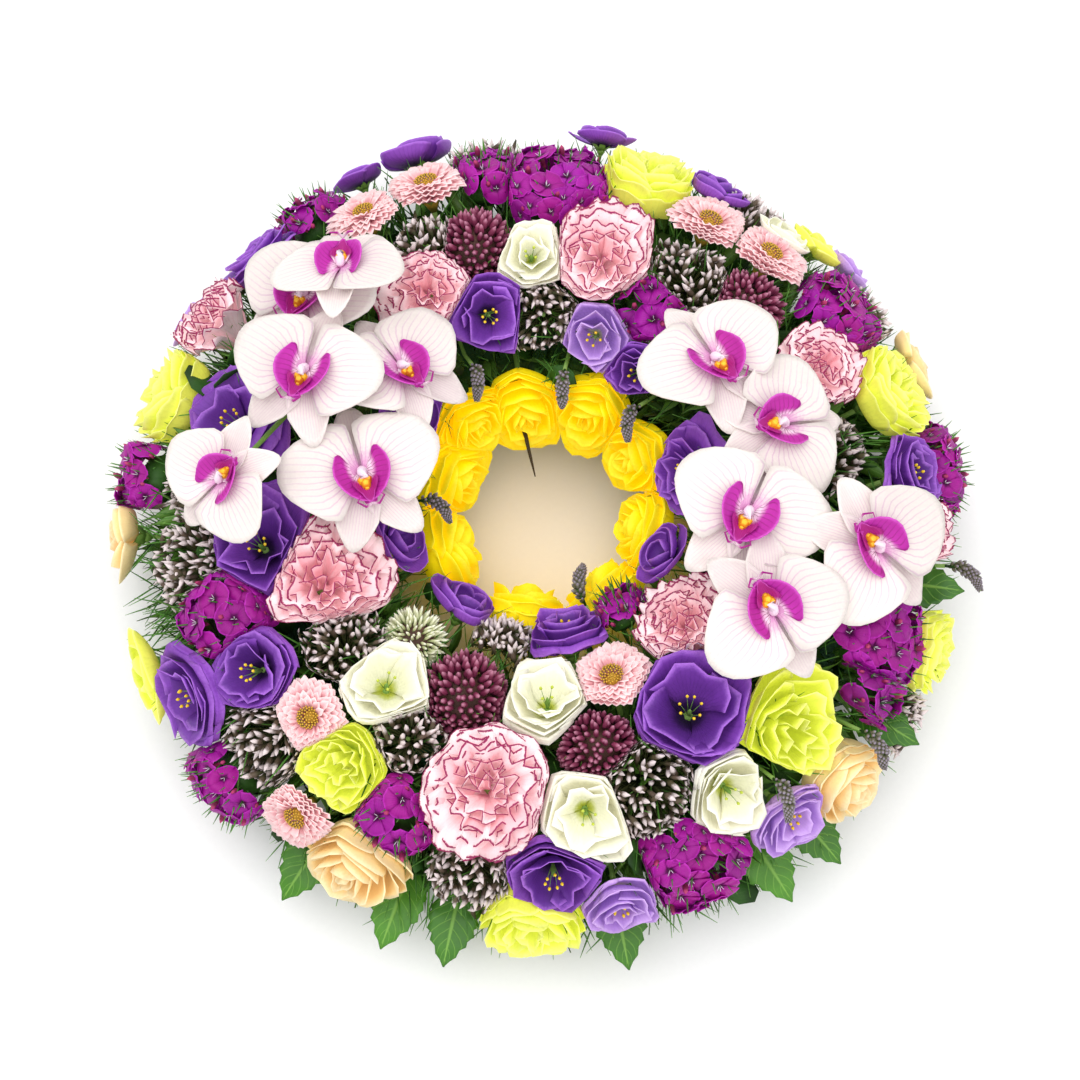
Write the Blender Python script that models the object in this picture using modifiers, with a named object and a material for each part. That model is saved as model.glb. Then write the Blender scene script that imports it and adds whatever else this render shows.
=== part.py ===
"""Funeral wreath: a flat plastic tray with a foam ring, planted all round with cut flowers.

Lengths in the plan are millimetres; MM turns them into metres. +Z is up, the tray stands on z = 0.
The plan places each bloom by its clock angle (degrees, 0 at the back, clockwise from above) and by
its lean (degrees from straight up, negative towards the hole). All stems point at the core circle
that runs inside the foam.
"""

import math
import random
from dataclasses import dataclass

import bmesh
import bpy
import numpy as np
from mathutils import Matrix, Vector

MM = 0.001
SEED = 7

# The core circle inside the foam, and the oval shell on which the flower faces lie round it
CORE_RADIUS = 158.0
CORE_HEIGHT = 38.0
SHELL_REACH = 112.0
SHELL_RISE = 87.0

# Tray and foam ring
TRAY_INNER, TRAY_OUTER = 110.0, 206.0
TRAY_FLOOR, TRAY_WALL, TRAY_LIP, TRAY_FLARE = 2.5, 2.0, 18.0, 3.0
FOAM_INNER, FOAM_OUTER = 113.0, 203.0
FOAM_BOTTOM, FOAM_TOP = 2.8, 60.0
FOAM_EDGE = 16.0
RING_STEPS = 24

# Stems, their holes, and the bundle that joins the filler stems of one sector inside the foam
STEM_ROOT = 12.0
HOLE_DEPTH_SPARE = 0.8
STEM_RADIUS = 1.9
SPRIG_RADIUS = 1.5
HOLE_CLEARANCE = 1.3
HOLE_REACH = 68.0
HOLE_SIDES = 4
BUNDLE_RADIUS = 3.0
BUNDLE_CLEARANCE = 0.8
BUNDLE_STEP, BUNDLE_SPARE = 10.0, 1.0

# A side shoot's stem bends over, below its head, to the stem that it grows from
SHOOT_START = 58.0
FORK_HEIGHT = 48.0
SHOOT_LONGEST = {"filler": 60.0, "pair": 95.0}
FOOT_TAPER, FOOT_BAND = 0.8, 0.5
NECK = 8.0
SCRAP_VOLUME = 300.0
FILLER_SECTORS = 7
SECTOR_START = -25.0

# Heads grow past their plan width until they press against each other, and stop short of the
# plane between them
HEAD_FILL = 1.38
SOFT_FILL = {"spikes": 1.7, "cluster": 1.55, "bud": 1.5, "globe": 1.15}
WIDEST_FILL = 1.7
CELL_GAP = 0.35
CELL_SOFT = 0.72
NEIGHBOUR_MARGIN = 22.0


@dataclass(frozen=True)
class Bloom:
    """One planted flower, bunch, spike or leaf of the plan."""

    name: str
    kind: str
    node: str
    clock: float
    lean: float
    width: float
    rise: float = 0.0


@dataclass(frozen=True)
class Orchid:
    """One orchid of a spray: its place, how far it stands out, and how its face is turned."""

    clock: float
    lean: float
    rise: float
    width: float
    tip_x: float
    tip_y: float
    roll: float


@dataclass(frozen=True)
class Ring:
    """One ring of a head: radius and height as shares of the half width, and the petals' wave."""

    radius: float
    height: float
    wave: float = 0.0
    lift: float = 0.0


FILLER = "filler"
SHOOT_KINDS = ("bud", "spire", "leaf")
FULL_ROLL = 72.0

PLAN = [
    Bloom("Y1", "rose", "yellow_roses_back", 352, -62, 56),
    Bloom("Y2", "rose", "yellow_roses_back", 25, -58, 58),
    Bloom("Y3", "rose", "yellow_roses_right", 58, -60, 52),
    Bloom("Y4", "rose", "yellow_roses_right", 96, -69, 52),
    Bloom("Y5", "rose", "yellow_roses_front", 139, -80, 56),
    Bloom("Y6", "rose", "yellow_roses_front", 190, -82, 58, 3),
    Bloom("Y7", "rose", "yellow_roses_left", 254, -76, 58, 3),
    Bloom("Y8", "rose", "yellow_roses_left", 298, -71, 54, 3),
    Bloom("Y9", "rose", "yellow_rose_back_left", 325, -58, 48),
    Bloom("C1", "carnation", "carnation_left_back", 301, 54, 54),
    Bloom("C2", "carnation", "carnation_left_front", 248, -13, 74, 2),
    Bloom("C3", "carnation", "carnation_back", 14, 1, 64, 2),
    Bloom("C4", "carnation", "carnation_back_left", 333, -4, 52, -3),
    Bloom("C5", "carnation", "carnation_right_front", 131, -28, 52, -3),
    Bloom("C6", "carnation", "carnation_right_back", 64, 21, 48, -3),
    Bloom("C7", "carnation", "carnation_right", 94, 47, 46),
    Bloom("C8", "carnation", "carnation_front", 190, 13, 76, 3),
    Bloom("M1", "daisy", "chrysanthemums_back_left", 341, 35, 48),
    Bloom("M2", "daisy", "chrysanthemums_back_left", 329.5, 33, 43),
    Bloom("M3", "daisy", "chrysanthemums_back_right", 30.5, 28, 48),
    Bloom("M4", "daisy", "chrysanthemums_back_right", 42, 31, 48),
    Bloom("M5", "daisy", "chrysanthemum_left_front", 225, 17, 42),
    Bloom("M6", "daisy", "chrysanthemum_front_left", 217, 46, 44),
    Bloom("M7", "daisy", "chrysanthemum_front", 159, -22, 45),
    Bloom("A1", "globe", "allium_back", 346, 8, 52, 2),
    Bloom("A2", "globe", "allium_back_right", 45, 16, 48),
    Bloom("A3", "globe", "allium_front_left", 201, -22, 54, 3),
    Bloom("A4", "globe", "allium_front", 167, -4, 48),
    Bloom("S1", "globe", "scabiosa_front_left", 222, -31, 36),
    Bloom("W1", "cup", "white_lisianthus_back", 358, -2, 38),
    Bloom("W2", "lisianthus", "white_lisianthus_left", 218, -7, 54, 3),
    Bloom("W3", "lisianthus", "white_lisianthus_middle", 178, -20, 48, 2),
    Bloom("W4", "lisianthus", "white_lisianthus_front", 172, 19, 52, 3),
    Bloom("W5", "lisianthus", "white_lisianthus_right", 148, 29, 50, 2),
    Bloom("L1", "rose", "lime_rose_left", 289, 62, 62),
    Bloom("L2", "rose", "lime_rose_back", 18, 44, 62, 2),
    Bloom("L3", "rose", "lime_rose_right", 71, 47, 56),
    Bloom("L4", "rose", "lime_rose_right_front", 109, 68, 50),
    Bloom("L5", "rose", "lime_rose_front_right", 134, 27, 66, 2),
    Bloom("L6", "rose", "lime_rose_front_left", 216, 24, 54),
    Bloom("L7", "rose", "lime_rose_front", 181, 64, 60),
    Bloom("R1", "rose", "peach_rose_front_left", 207, 58, 62),
    Bloom("R3", "rose", "peach_rose_front_right", 132, 62, 60),
    Bloom("P1", "cup", "purple_lisianthus_back_left", 313, 56, 44),
    Bloom("P3", "lisianthus", "purple_lisianthus_left_back", 285, 21, 58, -3),
    Bloom("P4", "lisianthus", "purple_lisianthus_left", 260, 7, 58),
    Bloom("P5", "lisianthus", "purple_lisianthus_back_inner", 345, -21, 48, 2),
    Bloom("P6", "cup", "purple_lisianthus_back_right", 18, -28, 42),
    Bloom("P9", "cup", "purple_lisianthus_back_right", 36, -33, 36),
    Bloom("P10", "cup", "purple_lisianthus_right_inner", 77, -40, 42),
    Bloom("P11", "cup", "purple_lisianthus_right", 85, 42, 44),
    Bloom("P13", "lisianthus", "purple_lisianthus_left_front", 241, 52, 52),
    Bloom("P14", "lisianthus", "purple_lisianthus_left_front", 238, 24, 48),
    Bloom("P16", "cup", "purple_lisianthus_front_inner", 168, -50, 44),
    Bloom("P17", "lisianthus", "purple_lisianthus_front_right", 146, -1, 72, 3),
    Bloom("P18", "lisianthus", "purple_lisianthus_front", 178, 40, 52),
    Bloom("P25", "cup", "purple_lisianthus_front", 169, 55, 40),
    Bloom("P19", "cup", "purple_lisianthus_right_front", 142, 51, 44),
    Bloom("P2", "bud", FILLER, 342, 70, 40, 4),
    Bloom("P7", "bud", FILLER, 28, 51, 34),
    Bloom("P8", "bud", FILLER, 50, 72, 28),
    Bloom("P12", "bud", FILLER, 112, -48, 30),
    Bloom("P15", "bud", FILLER, 217, -53, 38),
    Bloom("P20", "bud", FILLER, 301, 80, 24),
    Bloom("P21", "bud", FILLER, 306, -36, 32),
    Bloom("P22", "bud", FILLER, 256, -42, 32),
    Bloom("P23", "bud", FILLER, 333, 72, 26),
    Bloom("P24", "bud", FILLER, 9, 70, 28, 4),
    Bloom("L8", "bud", FILLER, 248, 74, 40),
    Bloom("L9", "bud", FILLER, 45, 60, 30),
    Bloom("W6", "bud", FILLER, 41, 47, 28),
    Bloom("R2", "bud", FILLER, 268, 76, 40),
    Bloom("R4", "bud", FILLER, 66, 74, 34),
    Bloom("D1", "cluster", FILLER, 3, 35, 70, 1),
    Bloom("D2", "cluster", FILLER, 351, 40, 38),
    Bloom("D3", "cluster", FILLER, 56, 45, 52),
    Bloom("D4", "cluster", FILLER, 276, 70, 42),
    Bloom("D5", "cluster", FILLER, 250, 26, 56),
    Bloom("D6", "cluster", FILLER, 204, 30, 40),
    Bloom("D7", "cluster", FILLER, 157, 51, 60),
    Bloom("D8", "cluster", FILLER, 82, 74, 42),
    Bloom("D9", "cluster", FILLER, 112, 44, 54),
    Bloom("D14", "cluster", FILLER, 121, 48, 34),
    Bloom("D10", "cluster", FILLER, 29, -12, 38),
    Bloom("D11", "cluster", FILLER, 143, -50, 26),
    Bloom("D12", "cluster", FILLER, 229, 70, 40),
    Bloom("D13", "cluster", FILLER, 323, 62, 36),
    Bloom("T1", "spikes", FILLER, 33, 9, 52),
    Bloom("T2", "spikes", FILLER, 33, 66, 42),
    Bloom("T3", "spikes", FILLER, 1, -24, 42),
    Bloom("T4", "spikes", FILLER, 337, 14, 36),
    Bloom("T5", "spikes", FILLER, 276, 41, 42, -8),
    Bloom("T6", "spikes", FILLER, 261, 34, 56),
    Bloom("T7", "spikes", FILLER, 228, 39, 60),
    Bloom("T8", "spikes", FILLER, 232, -8, 46),
    Bloom("T9", "spikes", FILLER, 208, 4, 36),
    Bloom("T10", "spikes", FILLER, 160, 16, 62),
    Bloom("T11", "spikes", FILLER, 190, 46, 44),
    Bloom("T12", "spikes", FILLER, 196, -52, 36),
    Bloom("T13", "spikes", FILLER, 57, 70, 32),
    Bloom("T14", "spikes", FILLER, 79, 21, 38, -14),
    Bloom("T15", "spikes", FILLER, 119, 82, 32),
    Bloom("T16", "spikes", FILLER, 313, 80, 32),
    Bloom("T17", "spikes", FILLER, 351, 62, 36),
    Bloom("V1", "spire", FILLER, 335, -37, 32, -3),
    Bloom("V2", "spire", FILLER, 10, -42, 34, 3),
    Bloom("V3", "spire", FILLER, 44, -42, 34, 3),
    Bloom("V4", "spire", FILLER, 274, -52, 34, 3),
    Bloom("V5", "spire", FILLER, 154, -64, 30, 3),
    Bloom("V7", "spire", FILLER, 141, 34, 34, 3),
    Bloom("V8", "spire", FILLER, 126, 47, 34, 3),
    Bloom("V9", "spire", FILLER, 97, 68, 30),
    Bloom("F1", "leaf", FILLER, 214, 84, 50),
    Bloom("F2", "leaf", FILLER, 200, 78, 50),
    Bloom("F3", "leaf", FILLER, 192, 80, 46),
    Bloom("F4", "leaf", FILLER, 169, 78, 50),
    Bloom("F5", "leaf", FILLER, 147, 78, 50),
    Bloom("F6", "leaf", FILLER, 139, 84, 46),
    Bloom("F7", "leaf", FILLER, 122, 62, 44),
    Bloom("F8", "leaf", FILLER, 101, 56, 46),
]

ORCHID_SPRAYS = {
    "orchid_spray_left": [
        Orchid(318, 7, 33, 84, -8, 30, 180),
        Orchid(310, 12, 16, 90, -14, 4, -25),
        Orchid(295, -2, 31, 94, -6, -2, -20),
        Orchid(311, -20, 25, 88, 12, 8, 42),
        Orchid(273, -22, 26, 98, 2, -2, 18),
        Orchid(270, 10, 31, 80, -22, -12, 130),
    ],
    "orchid_spray_right": [
        Orchid(55, -12, 30, 94, 4, 8, 35),
        Orchid(76, -5, 21, 92, 16, 2, -80),
        Orchid(100, -14, 30, 100, 4, -4, -25),
        Orchid(101, 17, 22, 96, 16, -10, -130),
        Orchid(120, -2, 24, 94, 4, -12, -150),
    ],
}
SPRAY_ROOTS = {"orchid_spray_left": (292, -2), "orchid_spray_right": (87, -4)}
SPRAY_STEM_RISE = 6.0
SPRAY_CELL = 12.0
SPRAY_FORK_RADIUS = 2.1
PEDICEL_SINK, PEDICEL_RISE, PEDICEL_RADII = 3.0, 7.5, (1.9, 1.6, 1.3)

# Face of an orchid as shares of its half width: dorsal sepal, petal, lateral sepal, each side
ORCHID_HALF = [
    (0.20, 0.84),
    (0.20, 0.42),
    (0.50, 0.74),
    (0.90, 0.60),
    (0.98, 0.16),
    (0.62, -0.20),
    (0.26, -0.16),
    (0.56, -0.50),
    (0.40, -0.90),
]
ORCHID_TOP, ORCHID_BOTTOM = (0.0, 0.96), (0.0, -0.34)
ORCHID_PLATE, ORCHID_CUP, ORCHID_THROAT, ORCHID_LIP = 1.2, 0.16, 0.18, 0.28

HEADS = {
    "rose": (
        8,
        [
            Ring(0.72, -0.92, 0.03),
            Ring(1.00, -0.34, 0.08, -0.04),
            Ring(0.80, -0.46, 0.05),
            Ring(0.70, -0.06, -0.08),
            Ring(0.48, -0.22, -0.05),
            Ring(0.40, 0.06, 0.12),
        ],
        -0.10,
        -1.35,
    ),
    "lisianthus": (
        8,
        [
            Ring(0.55, -0.85, 0.03),
            Ring(1.00, -0.12, 0.11, -0.07),
            Ring(0.66, -0.34, -0.06),
            Ring(0.56, -0.06, -0.10, 0.03),
            Ring(0.24, -0.46),
        ],
        0.24,
        -1.3,
    ),
    "carnation": (
        10,
        [
            Ring(0.78, -0.50, 0.04),
            Ring(1.00, -0.20, 0.10, 0.05),
            Ring(0.76, -0.28, 0.03),
            Ring(0.72, 0.00, -0.11, 0.06),
            Ring(0.40, 0.06, 0.16, 0.05),
        ],
        -0.16,
        -1.15,
    ),
    "daisy": (
        10,
        [
            Ring(0.72, -0.34, 0.05),
            Ring(1.00, -0.16, 0.14),
            Ring(0.72, 0.00, -0.16),
            Ring(0.34, 0.02),
        ],
        0.06,
        -0.95,
    ),
    "cup": (
        8,
        [
            Ring(0.55, -0.85, 0.03),
            Ring(1.00, -0.12, 0.11, -0.07),
            Ring(0.44, -0.40, -0.12),
        ],
        0.30,
        -1.3,
    ),
    "bud": (
        6,
        [
            Ring(0.95, -0.55, 0.04),
            Ring(0.90, -0.06, 0.14, 0.06),
        ],
        -0.24,
        -1.2,
    ),
    "spikes": (
        6,
        [
            Ring(0.90, -0.40),
            Ring(0.72, -0.10),
            Ring(0.30, 0.00),
        ],
        0.16,
        -0.95,
    ),
}
SPIKE_STAND = 0.26

GLOBE_SQUASH, GLOBE_SPIKE, GLOBE_BARE, GLOBE_NECK = 0.90, 0.20, -0.35, -1.1

CLUSTER_SPREAD, CLUSTER_CORE, CLUSTER_NECK = 1.14, 0.42, -0.5
FLORET_REACH, FLORET_NOTCH, FLORET_RIM, FLORET_EYE = 0.55, 0.56, 0.12, -0.04

SPIRE_SLOPE, SPIRE_RADII = 66.0, (1.6, 3.8, 3.0, 0.8)
SPIRE_BEND, SPIRE_FOOT = 16.0, 10.0

LEAF_HALF_WIDTH, LEAF_THICK, LEAF_FOLD, LEAF_DROOP = 0.30, 1.0, 0.10, 0.25
LEAF_SINK, STALK_OFFSET, STALK_LAP = 0.8, 0.4, 8.0
LEAF_OUTLINE = [(0.28, 1.00), (0.42, 0.66), (0.62, 0.80), (0.74, 0.44)]

COLOURS = {
    "rose": (0.95, 0.82, 0.04),
    "lime": (0.70, 0.80, 0.24),
    "peach": (0.93, 0.76, 0.55),
    "carnation": (0.88, 0.58, 0.62),
    "daisy": (0.86, 0.56, 0.60),
    "allium": (0.26, 0.05, 0.12),
    "scabiosa": (0.80, 0.80, 0.58),
    "white": (0.90, 0.90, 0.82),
    "purple": (0.16, 0.05, 0.38),
    "orchid": (0.90, 0.84, 0.86),
    "filler": (0.22, 0.28, 0.14),
    "foam": (0.05, 0.14, 0.06),
    "tray": (0.03, 0.05, 0.03),
}
PETAL_ROUGHNESS, FOAM_ROUGHNESS, TRAY_ROUGHNESS = 0.6, 0.9, 0.4


def core_point(clock):
    """Point of the core circle at a clock angle."""
    turn = math.radians(clock)
    return Vector((CORE_RADIUS * math.sin(turn), CORE_RADIUS * math.cos(turn), CORE_HEIGHT))


def outward(clock, lean):
    """Vector from the core circle to the shell at a clock angle and lean."""
    turn, tilt = math.radians(clock), math.radians(lean)
    reach = SHELL_REACH * math.sin(tilt)
    return Vector((reach * math.sin(turn), reach * math.cos(turn), SHELL_RISE * math.cos(tilt)))


def shell_point(clock, lean, rise=0.0):
    """Point on the shell, or rise millimetres above it."""
    arm = outward(clock, lean)
    return core_point(clock) + arm + arm.normalized() * rise


def facing(direction, up_hint=Vector((0.0, 1.0, 0.0)), roll=0.0):
    """Rotation whose Z is the direction and whose Y leans towards the hint, rolled about Z."""
    z = direction.normalized()
    x = up_hint.cross(z)
    if x.length < 1e-3:
        x = Vector((1.0, 0.0, 0.0))
    x.normalize()
    y = z.cross(x)
    basis = Matrix((x, y, z)).transposed()
    return basis @ Matrix.Rotation(math.radians(roll), 3, "Z")


def clear_scene():
    """Remove whatever objects the file holds."""
    for item in list(bpy.data.objects):
        bpy.data.objects.remove(item, do_unlink=True)


def new_collection(name, parent=None):
    """A collection in the scene."""
    made = bpy.data.collections.new(name)
    (parent or bpy.context.scene.collection).children.link(made)
    return made


def make_material(name, colour, roughness):
    """A plain material of one colour."""
    made = bpy.data.materials.new(name)
    made.use_nodes = True
    shader = made.node_tree.nodes["Principled BSDF"]
    shader.inputs["Base Color"].default_value = (*colour, 1.0)
    shader.inputs["Roughness"].default_value = roughness
    shader.inputs["Metallic"].default_value = 0.0
    return made


def object_from(bm, name, collection, material=None):
    """Turn a bmesh in millimetres into an object in metres."""
    bmesh.ops.recalc_face_normals(bm, faces=bm.faces)
    if bm.calc_volume(signed=True) < 0:
        bmesh.ops.reverse_faces(bm, faces=bm.faces)
    bmesh.ops.scale(bm, vec=(MM, MM, MM), verts=bm.verts)
    mesh = bpy.data.meshes.new(name)
    bm.to_mesh(mesh)
    bm.free()
    mesh.shade_smooth()
    made = bpy.data.objects.new(name, mesh)
    collection.objects.link(made)
    if material:
        mesh.materials.append(material)
    return made


def next_ring(bm, ring):
    """Extrude an open ring of vertices and return the new ring in the same order."""
    edges = [e for e in bm.edges if len(e.link_faces) < 2 and set(e.verts) <= set(ring)]
    grown = bmesh.ops.extrude_edge_only(bm, edges=edges)["geom"]
    fresh = {v for v in grown if isinstance(v, bmesh.types.BMVert)}
    return [next(e.other_vert(v) for e in v.link_edges if e.other_vert(v) in fresh) for v in ring]


def set_ring(ring, radius, height, wave=0.0, lift=0.0):
    """Place a ring: every second vertex is a petal's middle, the others are the notches between."""
    for k, vert in enumerate(ring):
        turn = 2 * math.pi * k / len(ring)
        side = 1 if k % 2 == 0 else -1
        reach = radius * (1 + wave * side)
        vert.co = (reach * math.cos(turn), reach * math.sin(turn), height + lift * side)


def head_mesh(kind, half, deep, stem_length, stem_radius):
    """Stem, cup and petal layers of one head as a single closed surface, facing +Z.

    Radii are shares of half, heights are shares of deep.
    """
    sides, rings, centre, calyx = HEADS[kind]
    bm = bmesh.new()
    ring = bmesh.ops.create_circle(bm, segments=sides // 2, radius=stem_radius)["verts"]
    upper = next_ring(bm, ring)
    bmesh.ops.translate(bm, vec=(0, 0, -stem_length), verts=ring)
    edges = [e for e in bm.edges if set(e.verts) <= set(upper)]
    bmesh.ops.bisect_edges(bm, edges=edges, cuts=1)
    turned = sorted(bm.verts, key=lambda v: math.atan2(v.co.y, v.co.x) % (2 * math.pi - 1e-4))
    first = [v for v in turned if v.co.z < -stem_length / 2]
    ring = [v for v in turned if v.co.z > -stem_length / 2]
    set_ring(ring, stem_radius, deep * calyx)
    for step in rings:
        ring = next_ring(bm, ring)
        set_ring(ring, half * step.radius, deep * step.height, step.wave, deep * step.lift)
    cap = bm.faces.new(ring)
    bm.faces.new(list(reversed(first)))
    if kind == "spikes":
        top = deep * (rings[0].height + rings[1].height) / 2
        raised = [f for f in bm.faces if f.calc_center_median().z > top + 0.01]
        bmesh.ops.recalc_face_normals(bm, faces=bm.faces)
        bmesh.ops.poke(bm, faces=raised, offset=deep * SPIKE_STAND)
    else:
        bmesh.ops.recalc_face_normals(bm, faces=bm.faces)
        bmesh.ops.poke(bm, faces=[cap], offset=deep * centre)
    return bm


def globe_mesh(half, stem_length, stem_radius):
    """A ball of florets: an icosphere with every face raised to a point, and a stem drawn from it."""
    bm = bmesh.new()
    bmesh.ops.create_icosphere(bm, subdivisions=2, radius=half * (1 - GLOBE_SPIKE))
    bm.faces.ensure_lookup_table()
    low = min(bm.faces, key=lambda f: f.calc_center_median().z)
    turn = low.normal.rotation_difference(Vector((0, 0, -1))).to_matrix()
    bmesh.ops.rotate(bm, cent=(0, 0, 0), matrix=turn, verts=bm.verts)
    raised = [f for f in bm.faces if f.calc_center_median().z > GLOBE_BARE * half]
    bmesh.ops.scale(bm, vec=(1, 1, GLOBE_SQUASH), verts=bm.verts)
    grown = bmesh.ops.extrude_face_region(bm, geom=[low])["geom"]
    bmesh.ops.delete(bm, geom=[low], context="FACES_ONLY")
    verts = [v for v in grown if isinstance(v, bmesh.types.BMVert)]
    for vert in verts:
        flat = Vector((vert.co.x, vert.co.y, 0)).normalized() * stem_radius
        vert.co = flat + Vector((0, 0, half * GLOBE_NECK))
    tips = [f for f in grown if isinstance(f, bmesh.types.BMFace)]
    last = bmesh.ops.extrude_face_region(bm, geom=tips)["geom"]
    bmesh.ops.delete(bm, geom=tips, context="FACES_ONLY")
    for vert in [v for v in last if isinstance(v, bmesh.types.BMVert)]:
        vert.co.z = half * GLOBE_SQUASH - stem_length
    bmesh.ops.poke(bm, faces=raised, offset=half * GLOBE_SPIKE)
    bmesh.ops.translate(bm, vec=(0, 0, -half * GLOBE_SQUASH), verts=bm.verts)
    return bm


def cluster_mesh(half, deep, stem_length, stem_radius):
    """Sweet william: six five-petalled florets that stand out of a small domed core."""
    squash = deep / half
    reach = half / CLUSTER_SPREAD
    bm = bmesh.new()
    bmesh.ops.create_icosphere(bm, subdivisions=1, radius=reach * CLUSTER_CORE)
    bmesh.ops.bevel(
        bm, geom=list(bm.verts), offset=50, offset_type="PERCENT", affect="VERTICES", segments=1
    )
    bmesh.ops.remove_doubles(bm, verts=bm.verts, dist=0.01)
    seats = [f for f in bm.faces if len(f.verts) == 5]
    low = min(seats, key=lambda f: f.calc_center_median().z)
    upper = [f for f in seats if f.calc_center_median().z > 0]
    grown = bmesh.ops.extrude_discrete_faces(bm, faces=upper + [low])["faces"]
    calyx = min(grown, key=lambda f: f.calc_center_median().z)
    florets = [f for f in grown if f is not calyx]
    stem = bmesh.ops.extrude_discrete_faces(bm, faces=[calyx])["faces"][0]
    low_ring = set(stem.verts)
    neck = {e.other_vert(v) for v in low_ring for e in v.link_edges} - low_ring
    for ring, height in ((neck, reach * CLUSTER_NECK), (low_ring, reach - stem_length / squash)):
        for vert in ring:
            vert.co = Vector((vert.co.x, vert.co.y, 0)).normalized() * stem_radius
            vert.co.z = height
    for face in florets:
        normal = face.calc_center_median().normalized()
        corners = set(face.verts)
        bmesh.ops.subdivide_edges(bm, edges=list(face.edges), cuts=1)
        for vert in face.verts:
            out = vert.co - normal * vert.co.dot(normal)
            share = 1.0 if vert in corners else FLORET_NOTCH
            vert.co = normal * reach * (1 - FLORET_RIM * (1 - share))
            vert.co += out.normalized() * reach * FLORET_REACH * share
        bmesh.ops.poke(bm, faces=[face], offset=reach * FLORET_EYE)
    bmesh.ops.translate(bm, vec=(0, 0, -reach), verts=bm.verts)
    bmesh.ops.scale(bm, vec=(1, 1, squash), verts=bm.verts)
    return bm


def tube_mesh(points, radii, sides_step=0):
    """A closed tube through points, made from a bevelled poly curve, in millimetres."""
    curve = bpy.data.curves.new("tube", "CURVE")
    curve.dimensions = "3D"
    curve.bevel_depth = 1.0
    curve.bevel_resolution = sides_step
    curve.use_fill_caps = True
    spline = curve.splines.new("POLY")
    spline.points.add(len(points) - 1)
    for slot, point, radius in zip(spline.points, points, radii):
        slot.co = (*point, 1.0)
        slot.radius = radius
    holder = bpy.data.objects.new("tube", curve)
    bpy.context.scene.collection.objects.link(holder)
    bpy.context.view_layer.update()
    mesh = bpy.data.meshes.new_from_object(holder.evaluated_get(bpy.context.evaluated_depsgraph_get()))
    bm = bmesh.new()
    bm.from_mesh(mesh)
    bmesh.ops.remove_doubles(bm, verts=bm.verts, dist=1e-3)
    bpy.data.objects.remove(holder, do_unlink=True)
    bpy.data.curves.remove(curve)
    bpy.data.meshes.remove(mesh)
    return bm


def leaf_mesh(length):
    """A toothed leaf, folded along its midrib, drooping to its tip, along +Z from its root."""
    half = [(along * length, out * LEAF_HALF_WIDTH * length) for along, out in LEAF_OUTLINE]
    outline = [(0.0, 0.0)] + half + [(length, 0.0)] + [(a, -o) for a, o in reversed(half)]
    bm = bmesh.new()
    ring = bmesh.ops.create_circle(bm, cap_ends=True, segments=len(outline), radius=1.0)["verts"]
    for vert, (along, out) in zip(ring, outline):
        share = along / length
        vert.co = (out, LEAF_FOLD * abs(out) - LEAF_DROOP * length * share * share, along)
    bmesh.ops.poke(bm, faces=list(bm.faces), offset=0.0)
    middle = max(bm.verts, key=lambda v: len(v.link_edges))
    middle.co = (0.0, -LEAF_DROOP * length * 0.25, 0.5 * length)
    grown = bmesh.ops.extrude_face_region(bm, geom=list(bm.faces))["geom"]
    verts = [v for v in grown if isinstance(v, bmesh.types.BMVert)]
    bmesh.ops.translate(bm, vec=(0, LEAF_THICK, 0), verts=verts)
    return bm


def orchid_mesh(width):
    """Face plate and lip of one orchid as a single closed surface, facing +Z."""
    half = width / 2
    left = [(-x, y) for x, y in reversed(ORCHID_HALF)]
    outline = [ORCHID_TOP] + ORCHID_HALF + [ORCHID_BOTTOM] + left
    bm = bmesh.new()
    ring = bmesh.ops.create_circle(bm, segments=len(outline), radius=1.0)["verts"]
    back = list(ring)
    for scale, height, cup in (
        (half, -ORCHID_PLATE, ORCHID_CUP),
        (half, 0.0, ORCHID_CUP),
        (half * ORCHID_THROAT, ORCHID_PLATE / 2, 0.0),
    ):
        if height > -ORCHID_PLATE:
            ring = next_ring(bm, ring)
        for vert, (x, y) in zip(ring, outline):
            reach = math.hypot(x, y)
            grow = half if cup else scale / reach
            vert.co = (x * grow, y * grow, height - cup * half * reach * reach)
    cap = bm.faces.new(ring)
    bm.faces.new(list(reversed(back)))
    bmesh.ops.recalc_face_normals(bm, faces=bm.faces)
    bmesh.ops.poke(bm, faces=[cap], offset=half * ORCHID_LIP)
    return bm


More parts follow.
